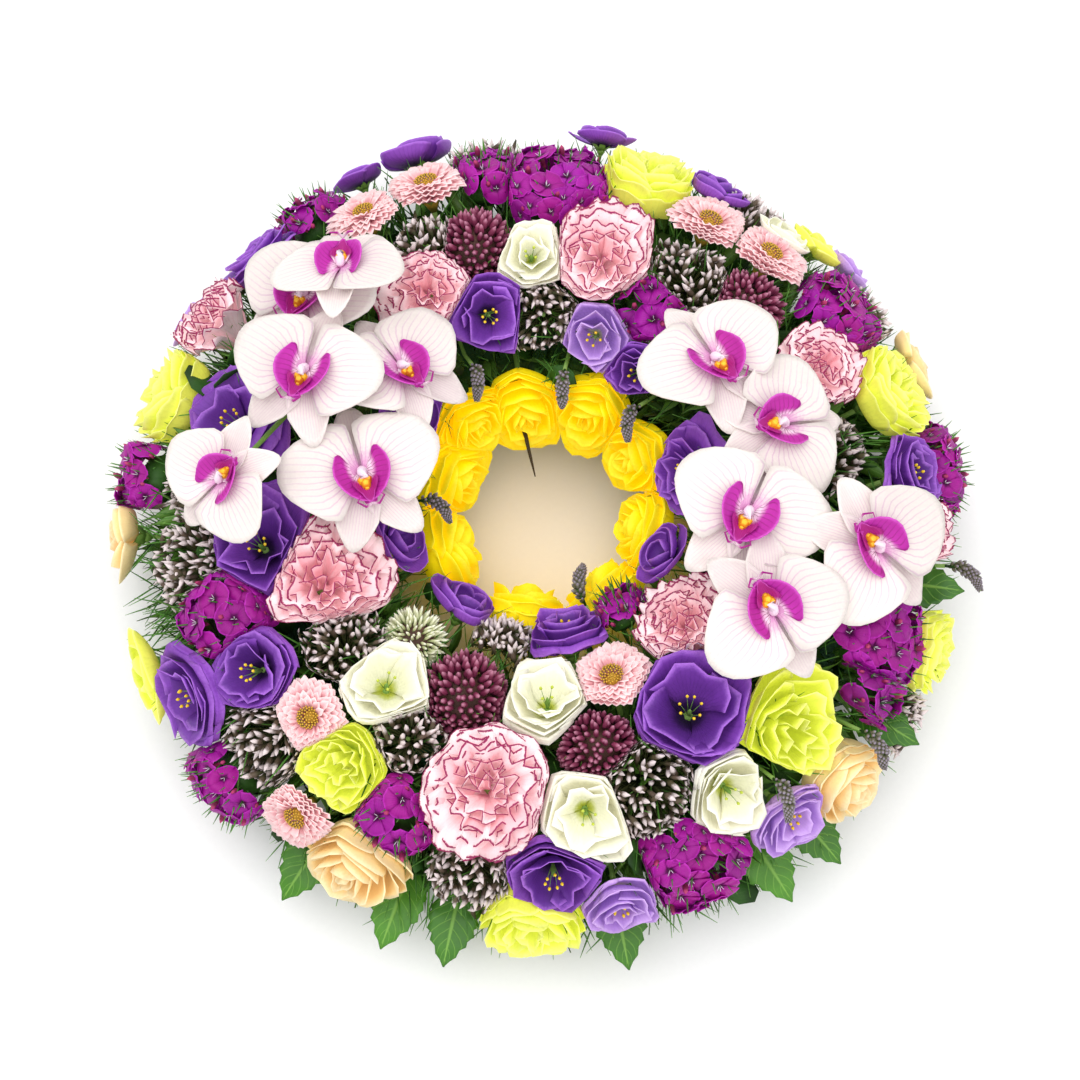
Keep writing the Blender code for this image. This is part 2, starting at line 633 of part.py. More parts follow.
class Cells:
    """Keeps every bloom on its own side of a plane between it and each neighbour."""

    def __init__(self, blooms):
        """Work out root, face point and radius of each bloom."""
        self.blooms = {b.name: b for b in blooms}
        self.face = {b.name: shell_point(b.clock, b.lean, b.rise) for b in blooms}
        self.root = {
            b.name: core_point(b.clock) + outward(b.clock, b.lean).normalized() * STEM_ROOT
            for b in blooms
        }

    def planes(self, bloom):
        """Point and normal of each plane that bounds this bloom."""
        found = []
        own_face, own_root = self.face[bloom.name], self.root[bloom.name]
        for other in self.blooms.values():
            if other.name == bloom.name:
                continue
            between = self.face[other.name] - own_face
            reach = (bloom.width + other.width) / 2 * WIDEST_FILL
            if between.length > reach + NEIGHBOUR_MARGIN:
                continue
            share = bloom.width / (bloom.width + other.width)
            top = own_face + between * share
            foot = (own_root + self.root[other.name]) / 2
            along = (top - foot).normalized()
            normal = between - along * between.dot(along)
            found.append((np.array(foot), np.array(normal.normalized())))
        return found

    def press(self, bloom, bm):
        """Draw each vertex towards the bloom's axis until it lies inside its cell."""
        planes = self.planes(bloom)
        root, face = np.array(self.root[bloom.name]), np.array(self.face[bloom.name])
        along = (face - root) / np.linalg.norm(face - root)
        for vert in bm.verts:
            point = np.array(vert.co)
            height = np.dot(point - root, along)
            if height < 0:
                continue
            axis = root + along * height
            most = 1e9
            for foot, normal in planes:
                start = np.dot(axis - foot, normal)
                slope = np.dot(point - axis, normal)
                if slope > 1e-9:
                    most = min(most, (-CELL_GAP - start) / slope)
            if most <= 0:
                raise ValueError(f"{bloom.name} has its axis outside its cell")
            stretch = 1 / most
            if stretch > CELL_SOFT:
                room = 1 - CELL_SOFT
                soft = 1 - room * room / (room + stretch - CELL_SOFT)
                vert.co = axis + (point - axis) * (soft / stretch)


def place_on_shell(bm, bloom, roll=0.0):
    """Turn a head that faces +Z outwards and put its face on the shell; a leaf lies flat."""
    arm = outward(bloom.clock, bloom.lean)
    hint = Vector((0.0, 0.0, 1.0)) if bloom.kind == "leaf" else Vector((0.0, 1.0, 0.0))
    turn = facing(arm, hint, roll).to_4x4()
    move = Matrix.Translation(shell_point(bloom.clock, bloom.lean, bloom.rise))
    bmesh.ops.transform(bm, matrix=move @ turn, verts=bm.verts)
    return bm


def stem_length(bloom, root):
    """Length from the face of a bloom down to a distance from the core circle."""
    return outward(bloom.clock, bloom.lean).length + bloom.rise - root


def spire_solids(bloom, root):
    """Veronica: a stem that bends over and ends in a tapering spike of buds."""
    length = stem_length(bloom, root)
    points = [(0, 0, -length), (0, 0, -SPIRE_BEND)]
    radii = [SPRIG_RADIUS, SPRIG_RADIUS]
    slope = math.radians(SPIRE_SLOPE)
    step = bloom.width / (len(SPIRE_RADII) - 1)
    tip = Vector((0, 0, -SPIRE_FOOT))
    for k, radius in enumerate(SPIRE_RADII):
        bend = slope * min(1.0, k / 2)
        points.append(tuple(tip))
        radii.append(radius)
        tip = tip + Vector((0, -math.sin(bend), math.cos(bend))) * step
    return [tube_mesh(points, radii)]


def leaf_solids(bloom, root):
    """A leaf on its stalk; the blade starts inside the flowers and its tip looks out of them."""
    length = stem_length(bloom, root)
    back = bloom.width * LEAF_SINK
    blade = leaf_mesh(bloom.width)
    bmesh.ops.translate(blade, vec=(0, 0, -back), verts=blade.verts)
    ends = [(0, STALK_OFFSET, -length), (0, STALK_OFFSET, -back + STALK_LAP)]
    stalk = tube_mesh(ends, [SPRIG_RADIUS, SPRIG_RADIUS])
    return [stalk, blade]


def bloom_solids(bloom, root, stem_radius):
    """Closed solids of one bloom, placed on the wreath."""
    fill = SOFT_FILL.get(bloom.kind, HEAD_FILL)
    half = bloom.width / 2 * fill
    length = stem_length(bloom, root)
    roll = 0.0
    if bloom.kind in HEADS:
        solids = [head_mesh(bloom.kind, half, half / fill, length, stem_radius)]
        roll = random.Random(f"{SEED}{bloom.name}").uniform(0, FULL_ROLL)
    elif bloom.kind == "globe":
        solids = [globe_mesh(half, length, stem_radius)]
    elif bloom.kind == "cluster":
        solids = [cluster_mesh(half, half / fill, length, stem_radius)]
    elif bloom.kind == "spire":
        solids = spire_solids(bloom, root)
        away = core_point(bloom.clock) - shell_point(bloom.clock, bloom.lean)
        roll = 0.0 if away.y > 0 else 180.0
    else:
        solids = leaf_solids(bloom, root)
    return [place_on_shell(bm, bloom, roll) for bm in solids]


def axis_point(bloom, reach):
    """Point of a bloom's axis at a distance from the core circle."""
    return core_point(bloom.clock) + outward(bloom.clock, bloom.lean).normalized() * reach


def carriers(blooms):
    """Which bloom each side shoot grows from, by name; a bloom with its own stem isn't listed."""
    found = {}
    for bloom in blooms:
        if bloom.node == FILLER:
            if bloom.kind not in SHOOT_KINDS:
                continue
            options = [
                b
                for b in blooms
                if b.node == FILLER
                and b.kind not in SHOOT_KINDS
                and sector_of(b.clock) == sector_of(bloom.clock)
            ]
        else:
            options = [b for b in blooms if b.node == bloom.node][:1]
        start = axis_point(bloom, SHOOT_START)
        options = [b for b in options if b is not bloom]
        if options:
            nearest = min(options, key=lambda b: (axis_point(b, FORK_HEIGHT) - start).length)
            longest = SHOOT_LONGEST["filler" if bloom.node == FILLER else "pair"]
            if (axis_point(nearest, FORK_HEIGHT) - start).length < longest:
                found[bloom.name] = nearest
    return found


def planted(bloom, carrier, cells, root, stem_radius):
    """A bloom's solids inside its cell, its foot drawn to its carrier if it is a side shoot."""
    solids = bloom_solids(bloom, SHOOT_START if carrier else root, stem_radius)
    for bm in solids:
        cells.press(bloom, bm)
    if carrier:
        foot = axis_point(bloom, SHOOT_START)
        along = outward(bloom.clock, bloom.lean).normalized()
        low = [v for v in solids[0].verts if (v.co - foot).dot(along) < FOOT_BAND]
        centre = sum((v.co for v in low), Vector()) / len(low)
        fork = axis_point(carrier, FORK_HEIGHT)
        turn = along.rotation_difference(axis_point(bloom, SHOOT_START + NECK) - fork)
        for vert in low:
            vert.co = fork + turn @ (vert.co - centre) * FOOT_TAPER
    return solids


def union(name, solids, collection, material):
    """Join closed solids into one object with one Boolean union."""
    if len(solids) == 1:
        return object_from(solids[0], name, collection, material)
    work = new_collection(f"{name}_work")
    for bm in solids:
        bmesh.ops.triangulate(bm, faces=bm.faces)
    base = object_from(solids[0], name, collection, material)
    for k, bm in enumerate(solids[1:]):
        object_from(bm, f"{name}_{k}", work)
    join = base.modifiers.new("join", "BOOLEAN")
    join.operation = "UNION"
    join.operand_type = "COLLECTION"
    join.collection = work
    join.solver = "MANIFOLD"
    apply_modifiers(base)
    drop_collection(work)
    drop_scraps(base)
    return base


def apply_modifiers(item):
    """Replace an object's mesh by its evaluated one."""
    bpy.context.view_layer.update()
    depsgraph = bpy.context.evaluated_depsgraph_get()
    mesh = bpy.data.meshes.new_from_object(item.evaluated_get(depsgraph))
    old = item.data
    item.modifiers.clear()
    item.data = mesh
    bpy.data.meshes.remove(old)
    mesh.name = item.name


def island_volume(island):
    """Volume in cubic millimetres that the faces on a set of vertices enclose."""
    total = 0.0
    for face in {f for vert in island for f in vert.link_faces}:
        first, *rest = [v.co / MM for v in face.verts]
        total += sum(first.dot(a.cross(b)) for a, b in zip(rest, rest[1:])) / 6
    return abs(total)


def drop_scraps(item):
    """Delete the doubled faces, loose scraps and sealed hollows that a union may leave."""
    bm = bmesh.new()
    bm.from_mesh(item.data)
    corners = {}
    for face in bm.faces:
        corners.setdefault(frozenset(face.verts), []).append(face)
    doubled = [face for faces in corners.values() if len(faces) > 1 for face in faces]
    bmesh.ops.delete(bm, geom=doubled, context="FACES")
    waiting = set(bm.verts)
    islands = []
    while waiting:
        island, edge = set(), [waiting.pop()]
        while edge:
            vert = edge.pop()
            island.add(vert)
            linked = {e.other_vert(vert) for e in vert.link_edges} & waiting
            waiting -= linked
            edge.extend(linked)
        islands.append(island)
    for island in islands:
        if island_volume(island) < SCRAP_VOLUME:
            bmesh.ops.delete(bm, geom=list(island), context="VERTS")
    bm.to_mesh(item.data)
    bm.free()


def drop_collection(collection):
    """Remove a collection and the objects in it."""
    for item in list(collection.objects):
        bpy.data.objects.remove(item, do_unlink=True)
    bpy.data.collections.remove(collection)


def sector_of(clock):
    """Which filler sector a clock angle falls in, from 1."""
    width = 360.0 / FILLER_SECTORS
    return int(((clock - SECTOR_START) % 360.0) / width) + 1


def bundle_points(blooms):
    """Points along the core circle that reach from the first to the last filler of a sector."""
    width = 360.0 / FILLER_SECTORS
    begin = SECTOR_START + width * (sector_of(blooms[0].clock) - 1)
    turns = [(b.clock - begin) % 360.0 for b in blooms]
    low, high = begin + min(turns) - BUNDLE_SPARE, begin + max(turns) + BUNDLE_SPARE
    steps = max(3, round((high - low) / BUNDLE_STEP))
    return [tuple(core_point(low + (high - low) * k / steps)) for k in range(steps + 1)]


def turned_ring(name, profile, collection, material=None):
    """A profile of (radius, height) points turned about Z with a Screw modifier."""
    bm = bmesh.new()
    verts = [bm.verts.new((r * MM, 0, z * MM)) for r, z in profile]
    for a, b in zip(verts, verts[1:] + verts[:1]):
        bm.edges.new((a, b))
    mesh = bpy.data.meshes.new(name)
    bm.to_mesh(mesh)
    bm.free()
    made = bpy.data.objects.new(name, mesh)
    collection.objects.link(made)
    if material:
        mesh.materials.append(material)
    screw = made.modifiers.new("turn", "SCREW")
    screw.axis = "Z"
    screw.steps = screw.render_steps = RING_STEPS
    screw.use_merge_vertices = True
    screw.merge_threshold = 0.00001
    apply_modifiers(made)
    fixed = bmesh.new()
    fixed.from_mesh(made.data)
    bmesh.ops.recalc_face_normals(fixed, faces=fixed.faces)
    fixed.to_mesh(made.data)
    fixed.free()
    return made


def build_tray(collection, material):
    """Shallow plastic tray ring with a raised inner and outer lip."""
    foot_in, foot_out = TRAY_INNER - TRAY_FLARE, TRAY_OUTER + TRAY_FLARE
    profile = [
        (foot_in, 0),
        (foot_out, 0),
        (foot_out + TRAY_WALL, TRAY_LIP),
        (foot_out, TRAY_LIP),
        (foot_out - TRAY_WALL, TRAY_FLOOR),
        (foot_in + TRAY_WALL, TRAY_FLOOR),
        (foot_in, TRAY_LIP),
        (foot_in - TRAY_WALL, TRAY_LIP),
    ]
    return turned_ring("tray", profile, collection, material)


def build_foam(blooms, sectors, collection, cutters, material):
    """Foam ring with a plain hole for every stem."""
    profile = [
        (FOAM_INNER, FOAM_BOTTOM),
        (FOAM_OUTER, FOAM_BOTTOM),
        (FOAM_OUTER, FOAM_TOP - FOAM_EDGE),
        (FOAM_OUTER - FOAM_EDGE, FOAM_TOP),
        (FOAM_INNER + FOAM_EDGE, FOAM_TOP),
        (FOAM_INNER, FOAM_TOP - FOAM_EDGE),
    ]
    foam = turned_ring("foam_ring", profile, collection, material)
    for bloom in blooms:
        filler = bloom.node == FILLER
        radius = (SPRIG_RADIUS if filler else STEM_RADIUS) + HOLE_CLEARANCE
        arm = outward(bloom.clock, bloom.lean).normalized()
        start = core_point(bloom.clock) + arm * (0.0 if filler else STEM_ROOT - HOLE_DEPTH_SPARE)
        end = core_point(bloom.clock) + arm * HOLE_REACH
        bm = bmesh.new()
        length = (end - start).length
        bmesh.ops.create_cone(
            bm, cap_ends=True, segments=HOLE_SIDES, radius1=radius, radius2=radius, depth=length
        )
        turn = facing(arm).to_4x4()
        bmesh.ops.transform(bm, matrix=Matrix.Translation((start + end) / 2) @ turn, verts=bm.verts)
        object_from(bm, f"hole_{bloom.name}", cutters)
    for number, members in sectors.items():
        points = bundle_points([b for b in members if b in blooms])
        wide = BUNDLE_RADIUS + BUNDLE_CLEARANCE
        first, last = Vector(points[0]), Vector(points[-1])
        points[0] = tuple(first + (first - Vector(points[1])).normalized() * BUNDLE_CLEARANCE)
        points[-1] = tuple(last + (last - Vector(points[-2])).normalized() * BUNDLE_CLEARANCE)
        object_from(tube_mesh(points, [wide] * len(points)), f"channel_{number}", cutters)
    drill = foam.modifiers.new("holes", "BOOLEAN")
    drill.operation = "DIFFERENCE"
    drill.operand_type = "COLLECTION"
    drill.collection = cutters
    drill.solver = "MANIFOLD"
    apply_modifiers(foam)
    drop_collection(cutters)
    return foam


def build_orchids(name, orchids, collection, material):
    """Orchids on one branching stem that dives into the foam."""
    clock, lean = SPRAY_ROOTS[name]
    arm = outward(clock, lean)
    fork = shell_point(clock, lean, SPRAY_STEM_RISE)
    root = core_point(clock) + arm.normalized() * STEM_ROOT
    solids = [tube_mesh([tuple(root), tuple(fork)], [STEM_RADIUS, SPRAY_FORK_RADIUS], 1)]
    for orchid in orchids:
        centre = shell_point(orchid.clock, orchid.lean, orchid.rise)
        view = Matrix.Rotation(math.radians(orchid.tip_x), 3, "Y") @ Vector((0, 0, 1))
        view = Matrix.Rotation(math.radians(-orchid.tip_y), 3, "X") @ view
        bm = orchid_mesh(orchid.width)
        turn = facing(view, roll=orchid.roll)
        bmesh.ops.transform(bm, matrix=Matrix.Translation(centre) @ turn.to_4x4(), verts=bm.verts)
        solids.append(bm)
        back = centre + turn.col[2] * PEDICEL_SINK
        middle = shell_point(
            (orchid.clock + clock) / 2, (orchid.lean + lean) / 2, PEDICEL_RISE
        )
        path = [tuple(fork), tuple(middle), tuple(back)]
        solids.append(tube_mesh(path, PEDICEL_RADII))
    return union(name, solids, collection, material)


def colour_of(node):
    """Colour key of a node by its plain name."""
    for word in ("lime", "peach", "carnation", "allium", "scabiosa", "white", "purple", "orchid"):
        if word in node:
            return word
    if "chrysanthemum" in node:
        return "daisy"
    return "filler" if FILLER in node else "rose"


def main():
    """Build the wreath."""
    clear_scene()
    wreath = new_collection("funeral_wreath")
    cutters = new_collection("cutters")
    cutters.hide_render = True
    materials = {
        key: make_material(key, colour, PETAL_ROUGHNESS) for key, colour in COLOURS.items()
    }
    foam_look = make_material("foam_ring", COLOURS["foam"], FOAM_ROUGHNESS)
    tray_look = make_material("tray", COLOURS["tray"], TRAY_ROUGHNESS)
    build_tray(wreath, tray_look)

    spray_stems = [
        Bloom(f"{name}_stem", "stem", name, clock, lean, SPRAY_CELL)
        for name, (clock, lean) in SPRAY_ROOTS.items()
    ]
    cells = Cells(PLAN + spray_stems)
    sectors, nodes = {}, {}
    for bloom in PLAN:
        if bloom.node == FILLER:
            sectors.setdefault(sector_of(bloom.clock), []).append(bloom)
        else:
            nodes.setdefault(bloom.node, []).append(bloom)
    carried = carriers(PLAN)
    own_stem = [bloom for bloom in PLAN + spray_stems if bloom.name not in carried]
    build_foam(own_stem, sectors, wreath, cutters, foam_look)

    for name, orchids in ORCHID_SPRAYS.items():
        build_orchids(name, orchids, wreath, materials["orchid"])
    for node, members in nodes.items():
        solids = []
        for bloom in members:
            carrier = carried.get(bloom.name)
            solids += planted(bloom, carrier, cells, STEM_ROOT, STEM_RADIUS)
        union(node, solids, wreath, materials[colour_of(node)])
    for number, members in sorted(sectors.items()):
        points = bundle_points([b for b in members if b.name not in carried])
        solids = [tube_mesh(points, [BUNDLE_RADIUS] * len(points))]
        for bloom in members:
            solids += planted(bloom, carried.get(bloom.name), cells, 0.0, SPRIG_RADIUS)
        union(f"filler_spray_{number}", solids, wreath, materials["filler"])


main()
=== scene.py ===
"""Looks of the funeral wreath: every bloom of the plan, petal by petal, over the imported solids.

Lengths in the plan are millimetres. Clock angles are degrees, 0 at the back and clockwise from
above; leans are degrees from straight up, negative towards the hole.
"""

import logging
import math
import random
from collections.abc import Callable
from dataclasses import dataclass, field, fields, replace
from enum import Enum
from typing import ClassVar

import bpy
import numpy as np
from mathutils import Matrix, Vector


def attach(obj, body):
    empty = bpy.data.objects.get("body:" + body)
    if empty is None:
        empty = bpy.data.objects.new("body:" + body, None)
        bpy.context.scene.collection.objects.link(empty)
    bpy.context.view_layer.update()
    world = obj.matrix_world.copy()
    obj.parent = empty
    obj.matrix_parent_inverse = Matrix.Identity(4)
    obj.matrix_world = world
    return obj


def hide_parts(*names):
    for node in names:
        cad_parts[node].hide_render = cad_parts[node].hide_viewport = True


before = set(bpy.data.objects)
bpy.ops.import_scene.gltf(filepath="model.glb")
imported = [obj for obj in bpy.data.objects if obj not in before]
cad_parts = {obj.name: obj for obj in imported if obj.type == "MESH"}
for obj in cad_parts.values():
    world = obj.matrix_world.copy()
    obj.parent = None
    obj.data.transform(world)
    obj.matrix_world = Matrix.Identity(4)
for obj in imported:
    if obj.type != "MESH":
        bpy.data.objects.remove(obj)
LOG = logging.getLogger("wreath")
MM = 0.001
SEED = 11

# All stems point at the core circle in the foam; the flowers face out of an oval shell round it.
CORE_RADIUS, CORE_HEIGHT = 158.0, 38.0
SHELL_REACH, SHELL_RISE = 112.0, 87.0
# A stem starts this far from the core circle; an orchid stem keeps a cell of this width free.
STEM_ROOT, SPRAY_CELL = 12.0, 12.0
# How far petals may pass the plane between two heads, and from which share of the room they yield.
CELL_GAP, CELL_SOFT = -2.4, 0.68
# How far away a neighbour can be and still press: a share of both widths, and a margin.
WIDEST_FILL, NEIGHBOUR_MARGIN = 1.7, 22.0
# The least room that a head keeps on a neighbour's side, whatever the plane says.
LEAST_ROOM = 0.4
FILLER_SECTORS, SECTOR_START = 7, -25.0
FILLER = "filler"
FULL_TURN = 2 * math.pi
GOLDEN_TURN = math.pi * (3 - math.sqrt(5))
GOLDEN_SHARE = 0.618034
# Copies are rolled by up to this many radians; a length is never divided by less than TINY.
MOST_ROLL = 6
TINY = 1e-9


class Kind(Enum):
    """What a planted bloom is."""

    ROSE = "rose"
    LISIANTHUS = "lisianthus"
    CUP = "cup"
    CARNATION = "carnation"
    DAISY = "daisy"
    GLOBE = "globe"
    BUD = "bud"
    CLUSTER = "cluster"
    SPIKES = "spikes"
    SPIRE = "spire"
    LEAF = "leaf"
    STEM = "stem"


@dataclass(frozen=True)
class Bloom:
    """One planted flower, bunch, spike or leaf of the plan."""

    name: str
    kind: Kind
    node: str
    clock: float
    lean: float
    width: float
    rise: float = 0.0


@dataclass(frozen=True)
class Orchid:
    """One orchid of a spray: its place, how far it stands out, and how its face is turned."""

    clock: float
    lean: float
    rise: float
    width: float
    tip_x: float
    tip_y: float
    roll: float


# Clock, lean, width and rise of every bloom, by its kind and by the node of the record.
PLANTED: dict[Kind, dict[str, dict[str, tuple[float, ...]]]] = {
    Kind.ROSE: {
        "yellow_roses_back": {"Y1": (352, -62, 56), "Y2": (25, -58, 58)},
        "yellow_roses_right": {"Y3": (58, -60, 52), "Y4": (96, -69, 52)},
        "yellow_roses_front": {"Y5": (139, -80, 56), "Y6": (190, -82, 58, 3)},
        "yellow_roses_left": {"Y7": (254, -76, 58, 3), "Y8": (298, -71, 54, 3)},
        "yellow_rose_back_left": {"Y9": (325, -58, 48)},
        "lime_rose_left": {"L1": (289, 62, 62)},
        "lime_rose_back": {"L2": (18, 44, 62, 2)},
        "lime_rose_right": {"L3": (71, 47, 56)},
        "lime_rose_right_front": {"L4": (109, 68, 50)},
        "lime_rose_front_right": {"L5": (134, 27, 66, 2)},
        "lime_rose_front_left": {"L6": (216, 24, 54)},
        "lime_rose_front": {"L7": (181, 64, 60)},
        "peach_rose_front_left": {"R1": (207, 58, 62)},
        "peach_rose_front_right": {"R3": (132, 62, 60)},
    },
    Kind.CARNATION: {
        "carnation_left_back": {"C1": (301, 54, 54)},
        "carnation_left_front": {"C2": (248, -13, 74, 2)},
        "carnation_back": {"C3": (14, 1, 64, 2)},
        "carnation_back_left": {"C4": (333, -4, 52, -3)},
        "carnation_right_front": {"C5": (131, -28, 52, -3)},
        "carnation_right_back": {"C6": (64, 21, 48, -3)},
        "carnation_right": {"C7": (94, 47, 46)},
        "carnation_front": {"C8": (190, 13, 76, 3)},
    },
    Kind.DAISY: {
        "chrysanthemums_back_left": {"M1": (341, 35, 48), "M2": (329.5, 33, 43)},
        "chrysanthemums_back_right": {"M3": (30.5, 28, 48), "M4": (42, 31, 48)},
        "chrysanthemum_left_front": {"M5": (225, 17, 42)},
        "chrysanthemum_front_left": {"M6": (217, 46, 44)},
        "chrysanthemum_front": {"M7": (159, -22, 45)},
    },
    Kind.GLOBE: {
        "allium_back": {"A1": (346, 8, 52, 2)},
        "allium_back_right": {"A2": (45, 16, 48)},
        "allium_front_left": {"A3": (201, -22, 54, 3)},
        "allium_front": {"A4": (167, -4, 48)},
        "scabiosa_front_left": {"S1": (222, -31, 36)},
    },
    Kind.LISIANTHUS: {
        "white_lisianthus_left": {"W2": (218, -7, 54, 3)},
        "white_lisianthus_middle": {"W3": (178, -20, 48, 2)},
        "white_lisianthus_front": {"W4": (172, 19, 52, 3)},
        "white_lisianthus_right": {"W5": (148, 29, 50, 2)},
        "purple_lisianthus_left_back": {"P3": (285, 21, 58, -3)},
        "purple_lisianthus_left": {"P4": (260, 7, 58)},
        "purple_lisianthus_back_inner": {"P5": (345, -21, 48, 2)},
        "purple_lisianthus_left_front": {"P13": (241, 52, 52), "P14": (238, 24, 48)},
        "purple_lisianthus_front_right": {"P17": (146, -1, 72, 3)},
        "purple_lisianthus_front": {"P18": (178, 40, 52)},
    },
    Kind.CUP: {
        "white_lisianthus_back": {"W1": (358, -2, 38)},
        "purple_lisianthus_back_left": {"P1": (313, 56, 44)},
        "purple_lisianthus_back_right": {"P6": (18, -28, 42), "P9": (36, -33, 36)},
        "purple_lisianthus_right_inner": {"P10": (77, -40, 42)},
        "purple_lisianthus_right": {"P11": (85, 42, 44)},
        "purple_lisianthus_front_inner": {"P16": (168, -50, 44)},
        "purple_lisianthus_front": {"P25": (169, 55, 40)},
        "purple_lisianthus_right_front": {"P19": (142, 51, 44)},
    },
    Kind.BUD: {
        FILLER: {
            "P2": (342, 70, 40, 4), "P7": (28, 51, 34), "P8": (50, 72, 28), "P12": (112, -48, 30),
            "P15": (217, -53, 38), "P20": (301, 80, 24), "P21": (306, -36, 32), "P22": (256, -42, 32),
            "P23": (333, 72, 26), "P24": (9, 70, 28, 4), "L8": (248, 74, 40), "L9": (45, 60, 30),
            "W6": (41, 47, 28), "R2": (268, 76, 40), "R4": (66, 74, 34),
        },
    },
    Kind.CLUSTER: {
        FILLER: {
            "D1": (3, 35, 70, 1), "D2": (351, 40, 38), "D3": (56, 45, 52), "D4": (276, 70, 42),
            "D5": (250, 26, 56), "D6": (204, 30, 40), "D7": (157, 51, 60), "D8": (82, 74, 42),
            "D9": (112, 44, 54), "D14": (121, 48, 34), "D10": (29, -12, 38), "D11": (143, -50, 26),
            "D12": (229, 70, 40), "D13": (323, 62, 36),
        },
    },
    Kind.SPIKES: {
        FILLER: {
            "T1": (33, 9, 52), "T2": (33, 66, 42), "T3": (1, -24, 42), "T4": (337, 14, 36),
            "T5": (276, 41, 42, -8), "T6": (261, 34, 56), "T7": (228, 39, 60), "T8": (232, -8, 46),
            "T9": (208, 4, 36), "T10": (160, 16, 62), "T11": (190, 46, 44), "T12": (196, -52, 36),
            "T13": (57, 70, 32), "T14": (79, 21, 38, -14), "T15": (119, 82, 32), "T16": (313, 80, 32),
            "T17": (351, 62, 36),
        },
    },
    Kind.SPIRE: {
        FILLER: {
            "V1": (335, -37, 32, -3), "V2": (10, -42, 34, 3), "V3": (44, -42, 34, 3),
            "V4": (274, -52, 34, 3), "V5": (154, -64, 30, 3), "V7": (141, 34, 34, 3),
            "V8": (126, 47, 34, 3), "V9": (97, 68, 30),
        },
    },
    Kind.LEAF: {
        FILLER: {
            "F1": (214, 84, 50), "F2": (200, 78, 50), "F3": (192, 80, 46), "F4": (169, 78, 50),
            "F5": (147, 78, 50), "F6": (139, 84, 46), "F7": (122, 62, 44), "F8": (101, 56, 46),
        },
    },
}
PLAN = [
    Bloom(name, kind, node, *place)
    for kind, nodes in PLANTED.items()
    for node, blooms in nodes.items()
    for name, place in blooms.items()
]

ORCHID_SPRAYS = {
    "orchid_spray_left": [
        Orchid(318, 7, 33, 84, -8, 30, 180),
        Orchid(310, 12, 16, 90, -14, 4, -25),
        Orchid(295, -2, 31, 94, -6, -2, -20),
        Orchid(311, -20, 25, 88, 12, 8, 42),
        Orchid(273, -22, 26, 98, 2, -2, 18),
        Orchid(270, 10, 31, 80, -22, -12, 130),
    ],
    "orchid_spray_right": [
        Orchid(55, -12, 30, 94, 4, 8, 35),
        Orchid(76, -5, 21, 92, 16, 2, -80),
        Orchid(100, -14, 30, 100, 4, -4, -25),
        Orchid(101, 17, 22, 96, 16, -10, -130),
        Orchid(120, -2, 24, 94, 4, -12, -150),
    ],
}
# Clock and lean at which each spray's stem comes out.
SPRAY_ROOTS = {"orchid_spray_left": (292, -2), "orchid_spray_right": (87, -4)}

Array = np.ndarray
Surface = Callable[[Array, Array], Array]
Rng = random.Random
Socket = bpy.types.NodeSocket
Tree = bpy.types.NodeTree


def core_point(clock: float) -> Vector:
    """Point of the core circle at a clock angle."""
    turn = math.radians(clock)
    return Vector((CORE_RADIUS * math.sin(turn), CORE_RADIUS * math.cos(turn), CORE_HEIGHT))


def outward(clock: float, lean: float) -> Vector:
    """Arm from the core circle to the shell of flower faces."""
    turn, tip = math.radians(clock), math.radians(lean)
    reach = SHELL_REACH * math.sin(tip)
    return Vector((reach * math.sin(turn), reach * math.cos(turn), SHELL_RISE * math.cos(tip)))


def shell_point(clock: float, lean: float, rise: float = 0.0) -> Vector:
    """Point of the shell, or a distance above it."""
    arm = outward(clock, lean)
    return core_point(clock) + arm + arm.normalized() * rise


def axis_point(bloom: Bloom, reach: float) -> Vector:
    """Point of a bloom's axis at a distance from the core circle."""
    return core_point(bloom.clock) + outward(bloom.clock, bloom.lean).normalized() * reach


def facing(direction: Vector, roll: float = 0.0, hint: Vector = Vector((0, 1, 0))) -> Matrix:
    """Turn that brings +Z onto a direction, with +Y kept towards a hint as far as it can be."""
    z = direction.normalized()
    x = hint.cross(z).normalized()
    turn = Matrix((x, z.cross(x), z)).transposed()
    return turn @ Matrix.Rotation(math.radians(roll), 3, "Z")


def sector_of(clock: float) -> int:
    """Which filler sector a clock angle falls in, from 1."""
    return int(((clock - SECTOR_START) % 360.0) / (360.0 / FILLER_SECTORS)) + 1


def smooth(low: float, high: float, value: Array) -> Array:
    """Ease from 0 at low to 1 at high."""
    share = np.clip((value - low) / (high - low), 0, 1)
    return share * share * (3 - 2 * share)


